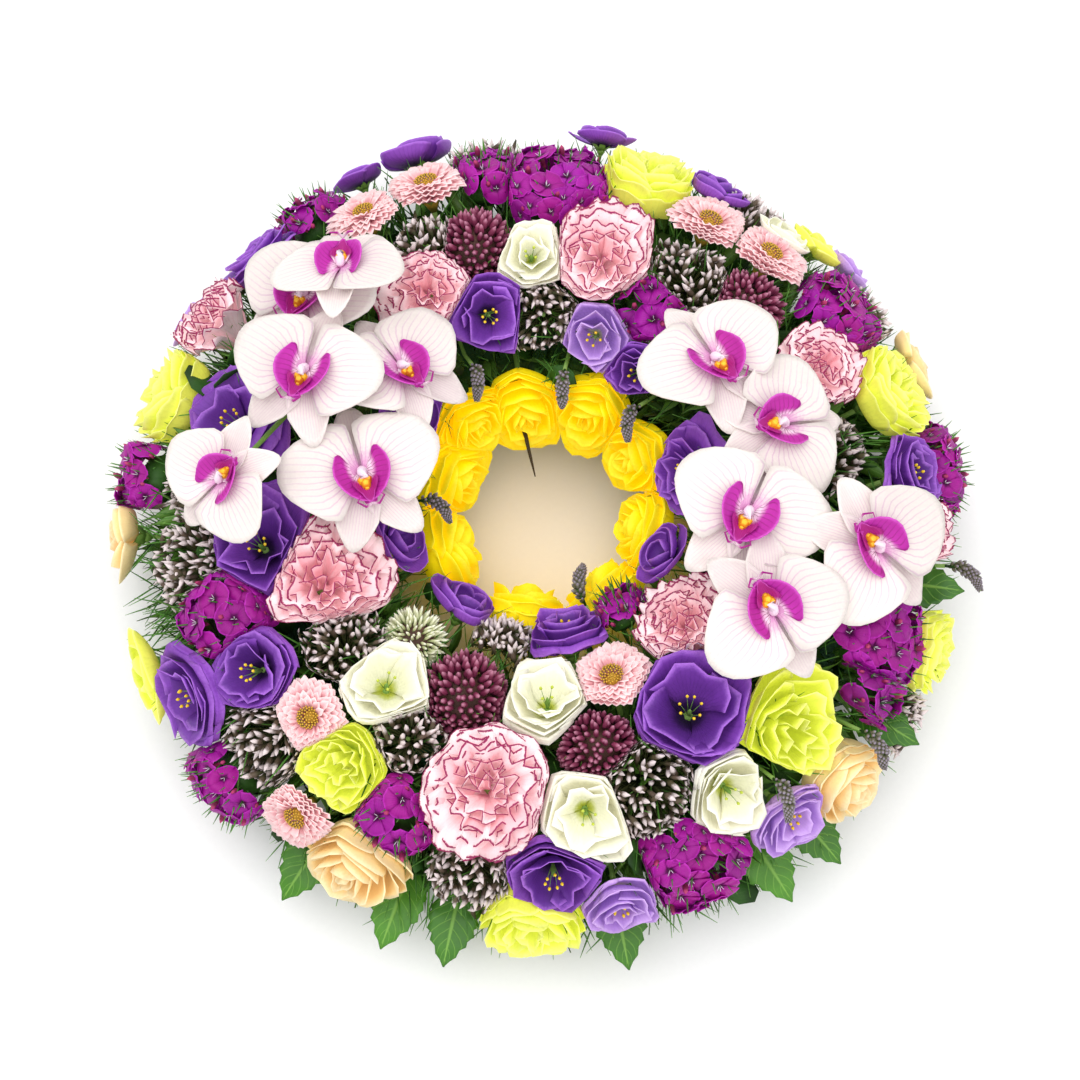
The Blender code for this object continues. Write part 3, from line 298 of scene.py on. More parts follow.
@dataclass(frozen=True)
class Model:
    """A shape as arrays, in millimetres, with what its materials read of every vertex.

    uv runs across a petal and from its root to its rim; marks are a petal's own tint and how
    deep in the flower it sits, which the petal pattern paints darker as shade towards the heart.
    """

    points: Array
    corners: Array
    sizes: Array
    uv: Array
    marks: Array
    slots: Array

    @classmethod
    def taken_from(cls, item: bpy.types.Object, uv: Callable[[Array], Array]) -> "Model":
        """Read an object's mesh, then remove the object.

        Args:
            item: object to read.
            uv: gives the petal coordinates from the points.

        Returns:
            The shape as arrays.
        """
        mesh = item.data
        points = np.empty(len(mesh.vertices) * 3)
        mesh.vertices.foreach_get("co", points)
        corners = np.empty(len(mesh.loops), dtype=np.int64)
        mesh.loops.foreach_get("vertex_index", corners)
        sizes = np.empty(len(mesh.polygons), dtype=np.int64)
        mesh.polygons.foreach_get("loop_total", sizes)
        points = points.reshape(-1, 3)
        bpy.data.objects.remove(item, do_unlink=True)
        bpy.data.meshes.remove(mesh)
        marks = np.full((len(points), 2), 0.5)
        return cls(points, corners, sizes, uv(points), marks, np.zeros(len(sizes), dtype=np.int64))

    def at(self, points: Array) -> "Model":
        """The same shape with its points elsewhere."""
        return replace(self, points=points)

    def placed(self, matrix: Matrix) -> "Model":
        """The shape moved by a 4 by 4 matrix."""
        turn = np.array(matrix)
        return self.at(self.points @ turn[:3, :3].T + turn[:3, 3])

    def sized(self, scale: tuple[float, float, float], shift: object = (0, 0, 0)) -> "Model":
        """The shape scaled along its axes, then moved."""
        return self.at(self.points * scale + shift)

    def marked(self, tint: float, depth: float) -> "Model":
        """The shape with one tint and depth all over."""
        return replace(self, marks=np.full((len(self.points), 2), (tint, depth)))

    def finished(self, finish: str) -> "Model":
        """The shape with one finish all over."""
        index = list(FINISHES).index(finish)
        return replace(self, slots=np.full(len(self.sizes), index, dtype=np.int64))

    def strewn(
        self,
        ways: Array,
        origins: Array,
        scales: object,
        finish: str = "",
        rolls: Array | float = 0.0,
        marks: Array | float = 0.5,
    ) -> "Model":
        """Copies whose +Z lies on the given directions.

        Args:
            ways: direction of each copy.
            origins: where each copy's origin goes, or one for all.
            scales: of each copy and axis, or one for all.
            finish: of the copies, if they don't keep their own.
            rolls: turn of each copy about its own +Z, in radians.
            marks: tint and depth of each copy.

        Returns:
            All the copies as one shape.
        """
        frames = frames_along(ways, origins, scales, rolls)
        count, size = len(frames), len(self.points)
        points = np.einsum("kij,nj->kni", frames[:, :3, :3], self.points)
        points += frames[:, None, :3, 3]
        corners = self.corners[None] + size * np.arange(count)[:, None]
        model = Model(
            points.reshape(-1, 3),
            corners.ravel(),
            np.tile(self.sizes, count),
            np.tile(self.uv, (count, 1)),
            np.repeat(np.broadcast_to(marks, (count, 2)), size, axis=0),
            np.tile(self.slots, count),
        )
        return model.finished(finish) if finish else model


def joined(models: list[Model]) -> Model:
    """Several shapes as one."""
    sizes = [len(m.points) for m in models]
    starts = np.cumsum([0] + sizes[:-1])
    moved = [replace(m, corners=m.corners + start) for m, start in zip(models, starts)]
    names = [part.name for part in fields(Model)]
    return Model(*(np.concatenate([getattr(m, name) for m in moved]) for name in names))


def sheet(columns: int, rows: int) -> Model:
    """A square sheet from -1 to 1: x runs across, y along, and z tells its two faces apart."""
    bpy.ops.object.select_all(action="DESELECT")
    bpy.ops.mesh.primitive_grid_add(x_subdivisions=columns, y_subdivisions=rows, size=2)
    item = bpy.context.object
    wall = item.modifiers.new("two faces", "SOLIDIFY")
    wall.thickness, wall.offset = 2.0, 0.0
    bpy.ops.object.modifier_apply(modifier=wall.name)
    return Model.taken_from(item, lambda points: (points[:, :2] + 1) / 2)


def turned(profile: list[tuple[float, float]], sides: int) -> Model:
    """A closed turned shape: a circle drawn up through the rings of its profile.

    Args:
        profile: radius and height of each ring, upwards.
        sides: corners of each ring.

    Returns:
        The shape, with v running from its lowest to its highest ring.
    """
    radius, height = profile[0]
    bpy.ops.object.select_all(action="DESELECT")
    bpy.ops.mesh.primitive_circle_add(
        vertices=sides, radius=radius, fill_type="NGON", location=(0, 0, height)
    )
    bpy.ops.object.transform_apply()
    bpy.ops.object.mode_set(mode="EDIT")
    for next_radius, next_height in profile[1:]:
        bpy.ops.mesh.extrude_region_move(
            TRANSFORM_OT_translate={"value": (0, 0, next_height - height)}
        )
        share = next_radius / radius
        bpy.ops.transform.resize(value=(share, share, 1))
        radius, height = next_radius, next_height
    bpy.ops.mesh.select_all(action="SELECT")
    bpy.ops.mesh.normals_make_consistent(inside=False)
    bpy.ops.object.mode_set(mode="OBJECT")

    def unrolled(points: Array) -> Array:
        """Angle and height as shares."""
        low, high = points[:, 2].min(), points[:, 2].max()
        angle = np.arctan2(points[:, 1], points[:, 0]) / FULL_TURN + 0.5
        return np.stack([angle, (points[:, 2] - low) / (high - low)], axis=1)

    return Model.taken_from(bpy.context.object, unrolled)


def petal(base: Model, surface: Surface, thickness: float) -> Model:
    """Lay a sheet on a surface and give it its thickness along the surface's normals.

    Args:
        base: the two-faced sheet.
        surface: point for u across, from -1 to 1, and v from root to rim, from 0 to 1.
        thickness: of the petal.

    Returns:
        The petal.
    """
    u, v, side = base.points[:, 0], (base.points[:, 1] + 1) / 2, base.points[:, 2]
    step = 0.01
    across = surface(u + step, v) - surface(u - step, v)
    along = surface(u, np.minimum(v + step, 1)) - surface(u, np.maximum(v - step, 0))
    normal = np.cross(across, along)
    normal /= np.maximum(np.linalg.norm(normal, axis=1, keepdims=True), TINY)
    return base.at(surface(u, v) + normal * side[:, None] * thickness / 2)


def frames_along(directions: Array, origins: Array, scales: object, rolls: object) -> Array:
    """A 4 by 4 matrix for each direction, with its +Z on it; the others as in strewn."""
    z = directions / np.linalg.norm(directions, axis=1, keepdims=True)
    hint = np.where(np.abs(z[:, 1:2]) > 0.95, [[1.0, 0.0, 0.0]], [[0.0, 1.0, 0.0]])
    x = np.cross(hint, z)
    x /= np.linalg.norm(x, axis=1, keepdims=True)
    y = np.cross(z, x)
    rolls = np.broadcast_to(rolls, len(z))
    cos, sin = np.cos(rolls)[:, None], np.sin(rolls)[:, None]
    axes = np.stack([x * cos + y * sin, y * cos - x * sin, z], axis=2)
    frames = np.zeros((len(z), 4, 4))
    frames[:, :3, :3] = axes * np.broadcast_to(scales, (len(z), 3))[:, None, :]
    frames[:, :3, 3] = origins
    frames[:, 3, 3] = 1
    return frames


def draws(rng: Rng, shape: int | tuple, low: float = 0.0, high: float = 1.0) -> Array:
    """An array of even draws between two values."""
    return np.array([rng.uniform(low, high) for _ in range(np.prod(shape))]).reshape(shape)


def tinted(rng: Rng, count: int, depth: Array | float = 0.5) -> Array:
    """Marks of copies: a drawn tint, and a given depth."""
    return np.column_stack([draws(rng, count), np.broadcast_to(depth, count)])


def slender(wide: Array | float, lengths: Array) -> Array:
    """Scales of copies that are as wide as they are deep."""
    wide = np.broadcast_to(wide, len(lengths))
    return np.stack([wide, wide, lengths], axis=1)


def tuples(points: list[Vector]) -> Array:
    """Points as an array."""
    return np.array([tuple(point) for point in points])


def dome(count: int, spread: float, rng: Rng) -> Array:
    """Directions spread evenly over a cap about +Z that reaches out to an angle."""
    steps = np.arange(count)
    cosine = 1 - (steps + 0.5) / count * (1 - math.cos(spread))
    sine = np.sqrt(1 - cosine * cosine)
    angle = steps * GOLDEN_TURN + rng.uniform(0, FULL_TURN)
    return np.stack([sine * np.cos(angle), sine * np.sin(angle), cosine], axis=1)


def stalk(base: Model, points: list[Vector], radii: list[float]) -> Model:
    """A tube through points, from a turned base with one ring a point.

    Args:
        base: turned shape whose rings stand at heights 0, 1, 2 and so on.
        points: where the rings go.
        radii: one a ring.

    Returns:
        The tube.
    """
    path = tuples(points)
    along = np.gradient(path, axis=0)
    along /= np.linalg.norm(along, axis=1, keepdims=True)
    frames = frames_along(along, path, np.array(radii)[:, None], 0.0)
    rows = np.rint(base.points[:, 2]).astype(int)
    flat = base.points * (1, 1, 0)
    return base.at(np.einsum("nij,nj->ni", frames[rows, :3, :3], flat) + frames[rows, :3, 3])


@dataclass(frozen=True)
class CupPetal:
    """A petal that wraps round its flower's axis; lengths in millimetres, angles in radians."""

    reach: float
    rim: float
    foot: float
    half_angle: float
    curl: float = 0.0
    close: float = 0.0
    ruffle: float = 0.0
    waves: float = 2.0
    phase: float = 0.0
    crown: float = 0.3
    point: float = 2.4
    twist: float = 0.05

    def __call__(self, u: Array, v: Array) -> Array:
        """Points of the petal, its middle towards +X."""
        v = np.clip(v, 1e-4, 1)
        w = v * (1 - self.crown * np.abs(u) ** self.point)
        turn = smooth(0.66, 1.05, w)
        wave = self.ruffle * w * w * np.sin(self.waves * math.pi * u + self.phase)
        reach = self.reach * (0.08 + 0.92 * np.sin(w * math.pi / 2) ** 0.85)
        reach = reach * (1 + self.twist * u) + self.curl * turn - self.close * turn + wave
        height = -self.foot + (self.rim + self.foot) * w**1.3
        height = height - 0.9 * self.curl * turn * turn + 0.4 * wave
        angle = self.half_angle * u * (0.45 + 0.55 * np.sqrt(w))
        return np.stack([reach * np.cos(angle), reach * np.sin(angle), height], axis=1)


@dataclass(frozen=True)
class BladePetal:
    """A petal drawn out along an arc from the axis; millimetres and radians from upright."""

    length: float
    width: float
    lean: tuple[float, float]
    start: float = 0.0
    base: float = 0.0
    root: float = 0.3
    widest: float = 0.6
    taper: float = 0.0
    crown: float = 0.3
    point: float = 2.0
    cup: float = 0.0
    ruffle: float = 0.0
    waves: float = 2.0
    phase: float = 0.0
    teeth: int = 0
    bite: float = 0.0
    twist: float = 0.0

    def __call__(self, u: Array, v: Array) -> Array:
        """Points of the petal, drawn towards +X."""
        v = np.clip(v, 1e-4, 1)
        notch = np.abs((u * self.teeth) % 2 - 1) if self.teeth else np.zeros_like(u)
        w = v * (1 - self.crown * np.abs(u) ** self.point) * (1 - self.bite * notch * v**6)
        low, high = self.lean
        angle = low + (high - low) * w
        bend = high - low if abs(high - low) > 1e-3 else 1e-3
        reach = self.start + self.length * (np.cos(low) - np.cos(angle)) / bend
        height = self.base + self.length * (np.sin(angle) - np.sin(low)) / bend
        grow = self.root + (1 - self.root) * smooth(0, self.widest, v)
        grow = grow * (1 - self.taper * np.clip((v - self.widest) / (1 - self.widest), 0, 1) ** 2)
        across = self.width * grow * u
        lift = self.cup * u * u * grow + self.twist * u
        lift = lift + self.ruffle * v * v * np.sin(self.waves * math.pi * u + self.phase)
        reach = reach - np.cos(angle) * lift
        return np.stack([reach, across, height + np.sin(angle) * lift], axis=1)


def made(maker: Callable[[], object]) -> object:
    """A field that is made anew for each object of its class."""
    return field(default_factory=maker)


@dataclass(frozen=True)
class Blanks:
    """The few shapes that everything repeats, each modelled once with the mesh operators."""

    broad: Model = made(lambda: sheet(10, 9))
    cup: Model = made(lambda: sheet(7, 5))
    fan: Model = made(lambda: sheet(12, 5))
    slim: Model = made(lambda: sheet(2, 4))
    floret: Model = made(lambda: sheet(5, 2))
    needle: Model = made(lambda: sheet(2, 3))
    leaf: Model = made(lambda: sheet(8, 14))
    bud: Model = made(lambda: turned([(0.35, 0.0), (1.0, 0.35), (0.8, 0.75), (0.1, 1.0)], 5))
    bead: Model = made(lambda: turned([(0.5, 0.0), (1.0, 0.45), (0.45, 0.9)], 5))
    thread: Model = made(lambda: turned([(0.6, 0.0), (1.0, 0.5), (0.25, 1.0)], 3))
    tube: Model = made(lambda: turned([(1.0, 0.0), (1.0, 1.0), (1.0, 2.0), (1.0, 3.0)], 8))


@dataclass(frozen=True)
class Layer:
    """One layer of cup petals: shares of a head's half and deep, angle in radians."""

    count: int
    reach: float
    rim: float
    half_angle: float
    curl: float = 0.0
    close: float = 0.0


@dataclass(frozen=True)
class Whorl:
    """One layer of blade petals: shares of a head's half and deep, leans in radians."""

    count: int
    reach: float
    rim: float
    lean: tuple[float, float]


@dataclass(frozen=True)
class Head:
    """A flower head that faces +Z with its face at the origin.

    It is drawn larger than its width, by fill, and its neighbours press it into shape. calyx is
    how far behind the face its green cup starts, as a share of deep.
    """

    width: float
    finish: str
    fill: float = 1.38
    calyx: float = 1.3
    sepals: int = 5
    thickness: float = 0.5
    layers: tuple = ()

    @property
    def half(self) -> float:
        """Radius before its neighbours press it."""
        return self.width / 2 * self.fill

    @property
    def deep(self) -> float:
        """What its heights are shares of."""
        return self.width / 2

    def build(self, blanks: Blanks, rng: Rng) -> Model:
        """The head, petal by petal.

        Args:
            blanks: the repeated shapes.
            rng: this bloom's own draws.

        Returns:
            The head in its own frame.
        """
        raise NotImplementedError

    def form(self, layer: Layer | Whorl, rng: Rng) -> Surface:
        """One petal of a layer, a little different from the others."""
        raise NotImplementedError

    def stem_gap(self) -> float:
        """How far behind its face the stem ends."""
        return self.calyx * self.deep - 1.0

    def stance(self, arm: Vector, roll: float) -> Matrix:
        """Turn that faces it along its arm."""
        return facing(arm, roll)

    def arc(self, reach: float, rim: float, lean: tuple[float, float], start: float) -> dict:
        """Length and base of a blade petal that ends at a reach and height.

        Args:
            reach: of its rim, as a share of half.
            rim: its height, as a share of deep.
            lean: from upright at the root and at the rim, in radians.
            start: reach of its root, as a share of half.

        Returns:
            Fields of a BladePetal.
        """
        low, high = lean
        length = (reach - start) * self.half * (high - low) / (math.cos(low) - math.cos(high))
        climb = length * (math.sin(high) - math.sin(low)) / (high - low)
        base = rim * self.deep - climb
        return {"length": length, "lean": lean, "start": start * self.half, "base": base}

    def ringed(
        self, base: Model, forms: list[Surface], thickness: float, depth: float, rng: Rng
    ) -> list[Model]:
        """One layer of petals round the axis.

        Args:
            base: the sheet to shape.
            forms: the surface of each petal.
            thickness: of a petal.
            depth: 0 for the outer layer, 1 for the innermost; inner layers get painted shade.
            rng: this bloom's own draws.

        Returns:
            The petals.
        """
        begin = rng.uniform(0, FULL_TURN)
        found = []
        for k, form in enumerate(forms):
            angle = begin + FULL_TURN * (k + rng.uniform(-0.12, 0.12)) / len(forms)
            one = petal(base, form, thickness).marked(rng.random(), depth)
            found.append(one.placed(Matrix.Rotation(angle, 4, "Z")))
        return found

    def layered(self, bases: list[Model], rng: Rng) -> Model:
        """All the layers, from the outside in, on one sheet a layer."""
        parts = []
        for index, (layer, base) in enumerate(zip(self.layers, bases)):
            forms = [self.form(layer, rng) for _ in range(layer.count)]
            depth = index / (len(self.layers) - 1)
            parts += self.ringed(base, forms, self.thickness, depth, rng)
        return joined(parts).finished(self.finish)

    def green_cup(self, blanks: Blanks, rng: Rng, high: float) -> Model:
        """The swelling that carries the petals, and its sepals.

        Args:
            blanks: the repeated shapes.
            rng: this bloom's own draws.
            high: height of its top, as a share of deep.

        Returns:
            The cup in the stem's green.
        """
        foot = -self.calyx * self.deep
        tall = (high + self.calyx) * self.deep
        wide = max(2.6, 0.2 * self.deep)
        form = BladePetal(
            length=0.75 * self.deep,
            width=0.16 * self.deep,
            lean=(0.5, 1.5),
            start=wide * 0.7,
            base=foot + tall * 0.4,
            root=0.7,
            taper=0.9,
            widest=0.4,
        )
        sepals = self.ringed(blanks.needle, [form] * self.sepals, 0.5, 0.5, rng)
        swelling = blanks.bud.sized((wide, wide, tall), (0, 0, foot))
        return joined([swelling, *sepals]).finished("stem_green")


@dataclass(frozen=True)
class CupFlower(Head):
    """A head of layered cup petals."""

    foot: float = 1.0
    ruffle: float = 0.03
    crown: float = 0.3
    point: float = 2.4
    thickness: float = 0.6
    fine_layers: int = 2

    def build(self, blanks: Blanks, rng: Rng) -> Model:
        """Every layer from the outside in, then the heart and the green cup."""
        plain = len(self.layers) - self.fine_layers
        head = self.layered([blanks.broad] * self.fine_layers + [blanks.cup] * plain, rng)
        heart = self.heart(blanks, rng)
        return joined([head, *heart, self.green_cup(blanks, rng, -self.foot * 0.9)])

    def form(self, layer: Layer, rng: Rng) -> CupPetal:
        """One petal of a layer, a little different from the others."""
        return CupPetal(
            reach=layer.reach * self.half * rng.uniform(0.94, 1.05),
            rim=(layer.rim + rng.uniform(-0.05, 0.05)) * self.deep,
            foot=self.foot * self.deep,
            half_angle=layer.half_angle * rng.uniform(0.93, 1.07),
            curl=layer.curl * self.half * rng.uniform(0.6, 1.3),
            close=layer.close * self.half,
            ruffle=self.ruffle * self.half * rng.uniform(0.6, 1.4),
            waves=rng.uniform(1.6, 2.6),
            phase=rng.uniform(0, FULL_TURN),
            crown=self.crown,
            point=self.point,
            twist=rng.uniform(0.04, 0.09),
        )

    def heart(self, blanks: Blanks, rng: Rng) -> list[Model]:
        """What stands in the middle of the petals."""
        return []


@dataclass(frozen=True)
class Rose(CupFlower):
    """A rose with a tightly rolled heart."""

    calyx: float = 1.35
    foot: float = 1.1
    ruffle: float = 0.035
    layers: tuple[Layer, ...] = (
        Layer(5, 1.00, -0.34, 0.80, 0.22),
        Layer(5, 0.84, -0.12, 0.84, 0.20),
        Layer(5, 0.66, 0.02, 0.90, 0.14),
        Layer(4, 0.50, 0.09, 1.06, 0.08),
        Layer(4, 0.36, 0.13, 1.15, 0.03),
        Layer(3, 0.23, 0.13, 1.55, 0.0, 0.02),
        Layer(2, 0.12, 0.12, 2.40, 0.0, 0.02),
    )


@dataclass(frozen=True)
class CrinkledRose(Rose):
    """The frilly lime rose: more and wavier petals, and a loose heart."""

    ruffle: float = 0.085
    layers: tuple[Layer, ...] = (
        Layer(6, 1.00, -0.32, 0.70, 0.14),
        Layer(6, 0.84, -0.08, 0.72, 0.14),
        Layer(5, 0.66, 0.02, 0.84, 0.10),
        Layer(5, 0.50, 0.07, 0.86, 0.06),
        Layer(4, 0.35, 0.10, 0.98, 0.04),
        Layer(3, 0.20, 0.08, 1.30, 0.0),
    )


@dataclass(frozen=True)
class Lisianthus(CupFlower):
    """An open lisianthus, with its stamens round a green pistil.

    stamen_reach is a share of half; stamen_foot and stamen_top are depths as shares of deep.
    """

    foot: float = 0.85
    ruffle: float = 0.10
    crown: float = 0.035
    point: float = 6.0
    stamens: int = 7
    stamen_reach: float = 0.13
    stamen_foot: float = 0.8
    stamen_top: float = 0.16
    knob: str = "stamen_yellow"
    layers: tuple[Layer, ...] = (
        Layer(4, 1.00, -0.18, 1.15, 0.34),
        Layer(3, 0.82, 0.04, 1.40, 0.30),
        Layer(3, 0.62, 0.14, 1.40, 0.20),
        Layer(3, 0.40, 0.10, 1.45, 0.12),
    )

    def heart(self, blanks: Blanks, rng: Rng) -> list[Model]:
        """Stamens on their threads round the pistil."""
        reach = self.stamen_reach * self.half
        low, high = -self.stamen_foot * self.deep, -self.stamen_top * self.deep
        places = np.arange(self.stamens) + draws(rng, self.stamens, -0.3, 0.3)
        angles = FULL_TURN * places / self.stamens
        heights = high + draws(rng, self.stamens, -1, 1)
        tops = np.stack([reach * np.cos(angles), reach * np.sin(angles), heights], axis=1)
        foot = np.array([0.0, 0.0, low])
        ways = tops - foot
        sizes = slender(0.35, np.linalg.norm(ways, axis=1))
        pistil = blanks.bud.sized((1.6, 1.6, 0.5 * self.deep), foot)
        return [
            blanks.thread.strewn(ways, foot, sizes, "stem_green"),
            blanks.bead.strewn(ways, tops, (1.1, 1.1, 2.6), self.knob),
            pistil.finished("stem_green"),
        ]


@dataclass(frozen=True)
class CupLisianthus(Lisianthus):
    """A lisianthus that is only half open."""

    stamens: int = 5
    layers: tuple[Layer, ...] = (
        Layer(4, 0.98, -0.12, 1.20, 0.28),
        Layer(3, 0.76, 0.10, 1.45, 0.20),
        Layer(3, 0.52, 0.18, 1.50, 0.12),
        Layer(2, 0.30, 0.12, 1.90, 0.06),
    )


@dataclass(frozen=True)
class Bud(CupFlower):
    """A bud with its petals wrapped over each other."""

    fill: float = 1.6
    calyx: float = 1.2
    foot: float = 0.75
    ruffle: float = 0.02
    layers: tuple[Layer, ...] = (
        Layer(3, 0.94, -0.12, 1.25, 0.04),
        Layer(3, 0.70, 0.02, 1.30, 0.0, 0.10),
        Layer(3, 0.40, 0.10, 1.45, 0.0, 0.14),
    )


@dataclass(frozen=True)
class Carnation(Head):
    """A carnation: ruffled fans with toothed, dark edges out of a long green cup."""

    fill: float = 1.45
    calyx: float = 1.15
    layers: tuple[Whorl, ...] = (
        Whorl(7, 1.00, -0.26, (0.12, 1.70)),
        Whorl(8, 0.87, -0.06, (0.12, 1.40)),
        Whorl(8, 0.72, 0.04, (0.12, 1.10)),
        Whorl(7, 0.56, 0.10, (0.12, 0.85)),
        Whorl(6, 0.38, 0.12, (0.12, 0.62)),
        Whorl(5, 0.20, 0.10, (0.12, 0.45)),
    )

    def build(self, blanks: Blanks, rng: Rng) -> Model:
        """Fans from the outside in, each layer more upright."""
        fans = self.layered([blanks.fan] * len(self.layers), rng)
        return joined([fans, self.green_cup(blanks, rng, -0.8)])

    def form(self, layer: Whorl, rng: Rng) -> BladePetal:
        """One ruffled fan."""
        low, high = layer.lean
        high *= rng.uniform(0.88, 1.1)
        reach = layer.reach * rng.uniform(0.9, 1.06)
        return BladePetal(
            **self.arc(reach, layer.rim + rng.uniform(-0.08, 0.08), (low, high), 0.05),
            width=(0.19 + 0.30 * layer.reach) * self.half,
            root=0.12,
            widest=0.95,
            crown=0.14,
            ruffle=0.10 * self.half * rng.uniform(0.6, 1.4),
            waves=rng.uniform(1.6, 3.6),
            phase=rng.uniform(0, FULL_TURN),
            teeth=9,
            bite=0.05,
            twist=rng.uniform(-0.12, 0.12) * self.half,
        )


@dataclass(frozen=True)
class Daisy(Head):
    """A chrysanthemum: spoon petals in layers round a domed golden disc.

    disc is the disc's radius as a share of half, its rise and sink are shares of deep, and
    disc_cap is the angle from its middle to its edge.
    """

    fill: float = 1.32
    calyx: float = 0.95
    thickness: float = 0.6
    grains: int = 60
    disc: float = 0.21
    disc_cap: float = 1.25
    disc_rise: float = 0.10
    disc_sink: float = 0.06
    layers: tuple[Whorl, ...] = (
        Whorl(28, 1.00, -0.26, (0.9, 1.70)),
        Whorl(28, 0.90, -0.12, (0.8, 1.62)),
        Whorl(26, 0.77, -0.02, (0.6, 1.52)),
        Whorl(23, 0.62, 0.04, (0.4, 1.40)),
        Whorl(18, 0.46, 0.07, (0.2, 1.20)),
    )

    def build(self, blanks: Blanks, rng: Rng) -> Model:
        """Petals from the outside in, then the disc."""
        petals = self.layered([blanks.slim] * len(self.layers), rng)
        ways = dome(self.grains, self.disc_cap, rng)
        reach, deep = self.disc * self.half, self.deep
        origins = ways * (reach, reach, self.disc_rise * deep) + (0, 0, -self.disc_sink * deep)
        marks = tinted(rng, self.grains, 1 - np.arange(self.grains) / self.grains)
        grains = blanks.bead.strewn(ways, origins, (0.75, 0.75, 1.9), "disc_gold", 0.0, marks)
        core = blanks.bud.sized((reach, reach, 0.95 * deep), (0, 0, -0.95 * deep))
        cup = self.green_cup(blanks, rng, -0.35)
        return joined([petals, grains, core.finished("disc_gold"), cup])

    def form(self, layer: Whorl, rng: Rng) -> BladePetal:
        """One spoon petal."""
        reach = layer.reach * rng.uniform(0.93, 1.05)
        return BladePetal(
            **self.arc(reach, layer.rim + rng.uniform(-0.05, 0.05), layer.lean, 0.16),
            width=0.085 * self.half,
            root=0.6,
            crown=0.16,
            cup=0.045 * self.half,
        )


@dataclass(frozen=True)
class Globe(Head):
    """A ball of small florets, each on its own thread.

    cap is the angle from its axis to the last floret, and splay how far a floret leans aside.
    """

    fill: float = 1.2
    calyx: float = 1.1
    count: int = 300
    floret: tuple[float, float] = (0.062, 0.30)
    squash: float = 0.9
    cap: float = 2.25
    reaches: tuple[float, float] = (0.9, 1.0)
    splay: float = 0.3
    core: float = 0.72

    def build(self, blanks: Blanks, rng: Rng) -> Model:
        """Florets over all of the ball but its underside, on a dark core."""
        half, count = self.half, self.count
        ways = dome(count, self.cap, rng)
        centre = np.array([0.0, 0.0, -self.squash * half])
        wide, tall = self.floret
        reach = half * (1 - tall) * draws(rng, (count, 1), *self.reaches)
        origins = ways * reach * (1, 1, self.squash) + centre
        aims = ways + draws(rng, (count, 3), -self.splay, self.splay)
        rolls = draws(rng, count, 0, MOST_ROLL / 2)
        scales = (wide * half, wide * half, tall * half)
        florets = blanks.bud.strewn(aims, origins, scales, self.finish, rolls, tinted(rng, count))
        core = self.core * half
        middle = blanks.bud.sized((core, core, 1.5 * core), centre + (0, 0, -0.75 * core))
        neck = blanks.bead.sized((3.0, 3.0, 8.0), (0, 0, -1.9 * half))
        return joined([florets, middle.finished("globe_core"), neck.finished("stem_green")])


@dataclass(frozen=True)
class SweetWilliam(Head):
    """Sweet william: toothed five-petalled florets on a dome, with dark buds and green needles.

    cap is the angle from its axis to the last floret, splay how far a floret leans aside and
    uneven how far it stands out; the rest are the buds and needles.
    """

    fill: float = 1.6
    calyx: float = 1.0
    floret_reach: float = 12.0
    floret_petals: int = 5
    crowding: float = 1.75
    fewest: int = 6
    cap: float = 1.35
    splay: float = 0.25
    uneven: tuple[float, float] = (-3.0, 2.0)
    rest_cap: float = 1.5
    rest_splay: float = 0.3

    def floret_petal(self, rng: Rng) -> BladePetal:
        """One toothed petal of a floret."""
        reach = self.floret_reach
        return BladePetal(
            length=reach * rng.uniform(0.94, 1.05),
            width=reach * 0.62,
            lean=(1.15, rng.uniform(1.5, 1.85)),
            start=0.4,
            base=-1.2,
            root=0.16,
            widest=0.85,
            crown=0.14,
            teeth=4,
            bite=0.14,
            ruffle=0.7,
            waves=rng.uniform(1.5, 3.0),
            phase=rng.uniform(0, 6),
            twist=0.7,
        )

    def floret(self, blanks: Blanks, rng: Rng) -> Model:
        """One floret facing +Z, with its white threads and dark tube."""
        forms = [self.floret_petal(rng) for _ in range(self.floret_petals)]
        petals = joined(self.ringed(blanks.floret, forms, self.thickness, 0.5, rng))
        foot, size = (0.0, 0.0, -1.5), (0.28, 0.28, 4.5)
        threads = blanks.thread.strewn(dome(3, 0.6, rng), foot, size, "thread_white")
        tube = blanks.bud.sized((1.7, 1.7, -9.0), (0, 0, -0.6))
        tube = replace(tube, corners=tube.corners[::-1].copy(), sizes=tube.sizes[::-1].copy())
        return joined([petals.finished(self.finish), threads, tube.finished("dark_bud")])

    def build(self, blanks: Blanks, rng: Rng) -> Model:
        """Florets over the dome, buds and needles between them."""
        half, deep = self.half, self.deep
        count = max(self.fewest, round(self.crowding * (half / self.floret_reach) ** 2))
        centre = np.array([0.0, 0.0, -0.95 * deep])
        spans = np.array([half * 0.98, half * 0.98, deep * 0.95])
        ways = dome(count, self.cap, rng)
        origins = ways * spans + centre
        origins[:, 2] += draws(rng, count, *self.uneven)
        normals = ways / spans
        normals /= np.linalg.norm(normals, axis=1, keepdims=True)
        normals += draws(rng, (count, 3), -self.splay, self.splay)
        rolls, marks = draws(rng, count, 0, MOST_ROLL), draws(rng, (count, 2))
        parts = [self.floret(blanks, rng).strewn(normals, origins, 1.0, "", rolls, marks)]
        for shape, number, size, finish, reach in (
            (blanks.bud, 14, (2.0, 2.0, 8.0), "dark_bud", 0.94),
            (blanks.thread, 70, (0.6, 0.6, 14.0), "needle_green", 0.84),
        ):
            spots = dome(number, self.rest_cap, rng)
            rolls, marks = draws(rng, number, 0, MOST_ROLL), tinted(rng, number)
            aims = spots + draws(rng, (number, 3), -self.rest_splay, self.rest_splay)
            places = spots * spans * reach + centre
            parts.append(shape.strewn(aims, places, size, finish, rolls, marks))
        core = blanks.bud.sized((0.6 * half, 0.6 * half, 1.15 * deep), (0, 0, -1.6 * deep))
        return joined(parts + [core.finished("dark_green")])


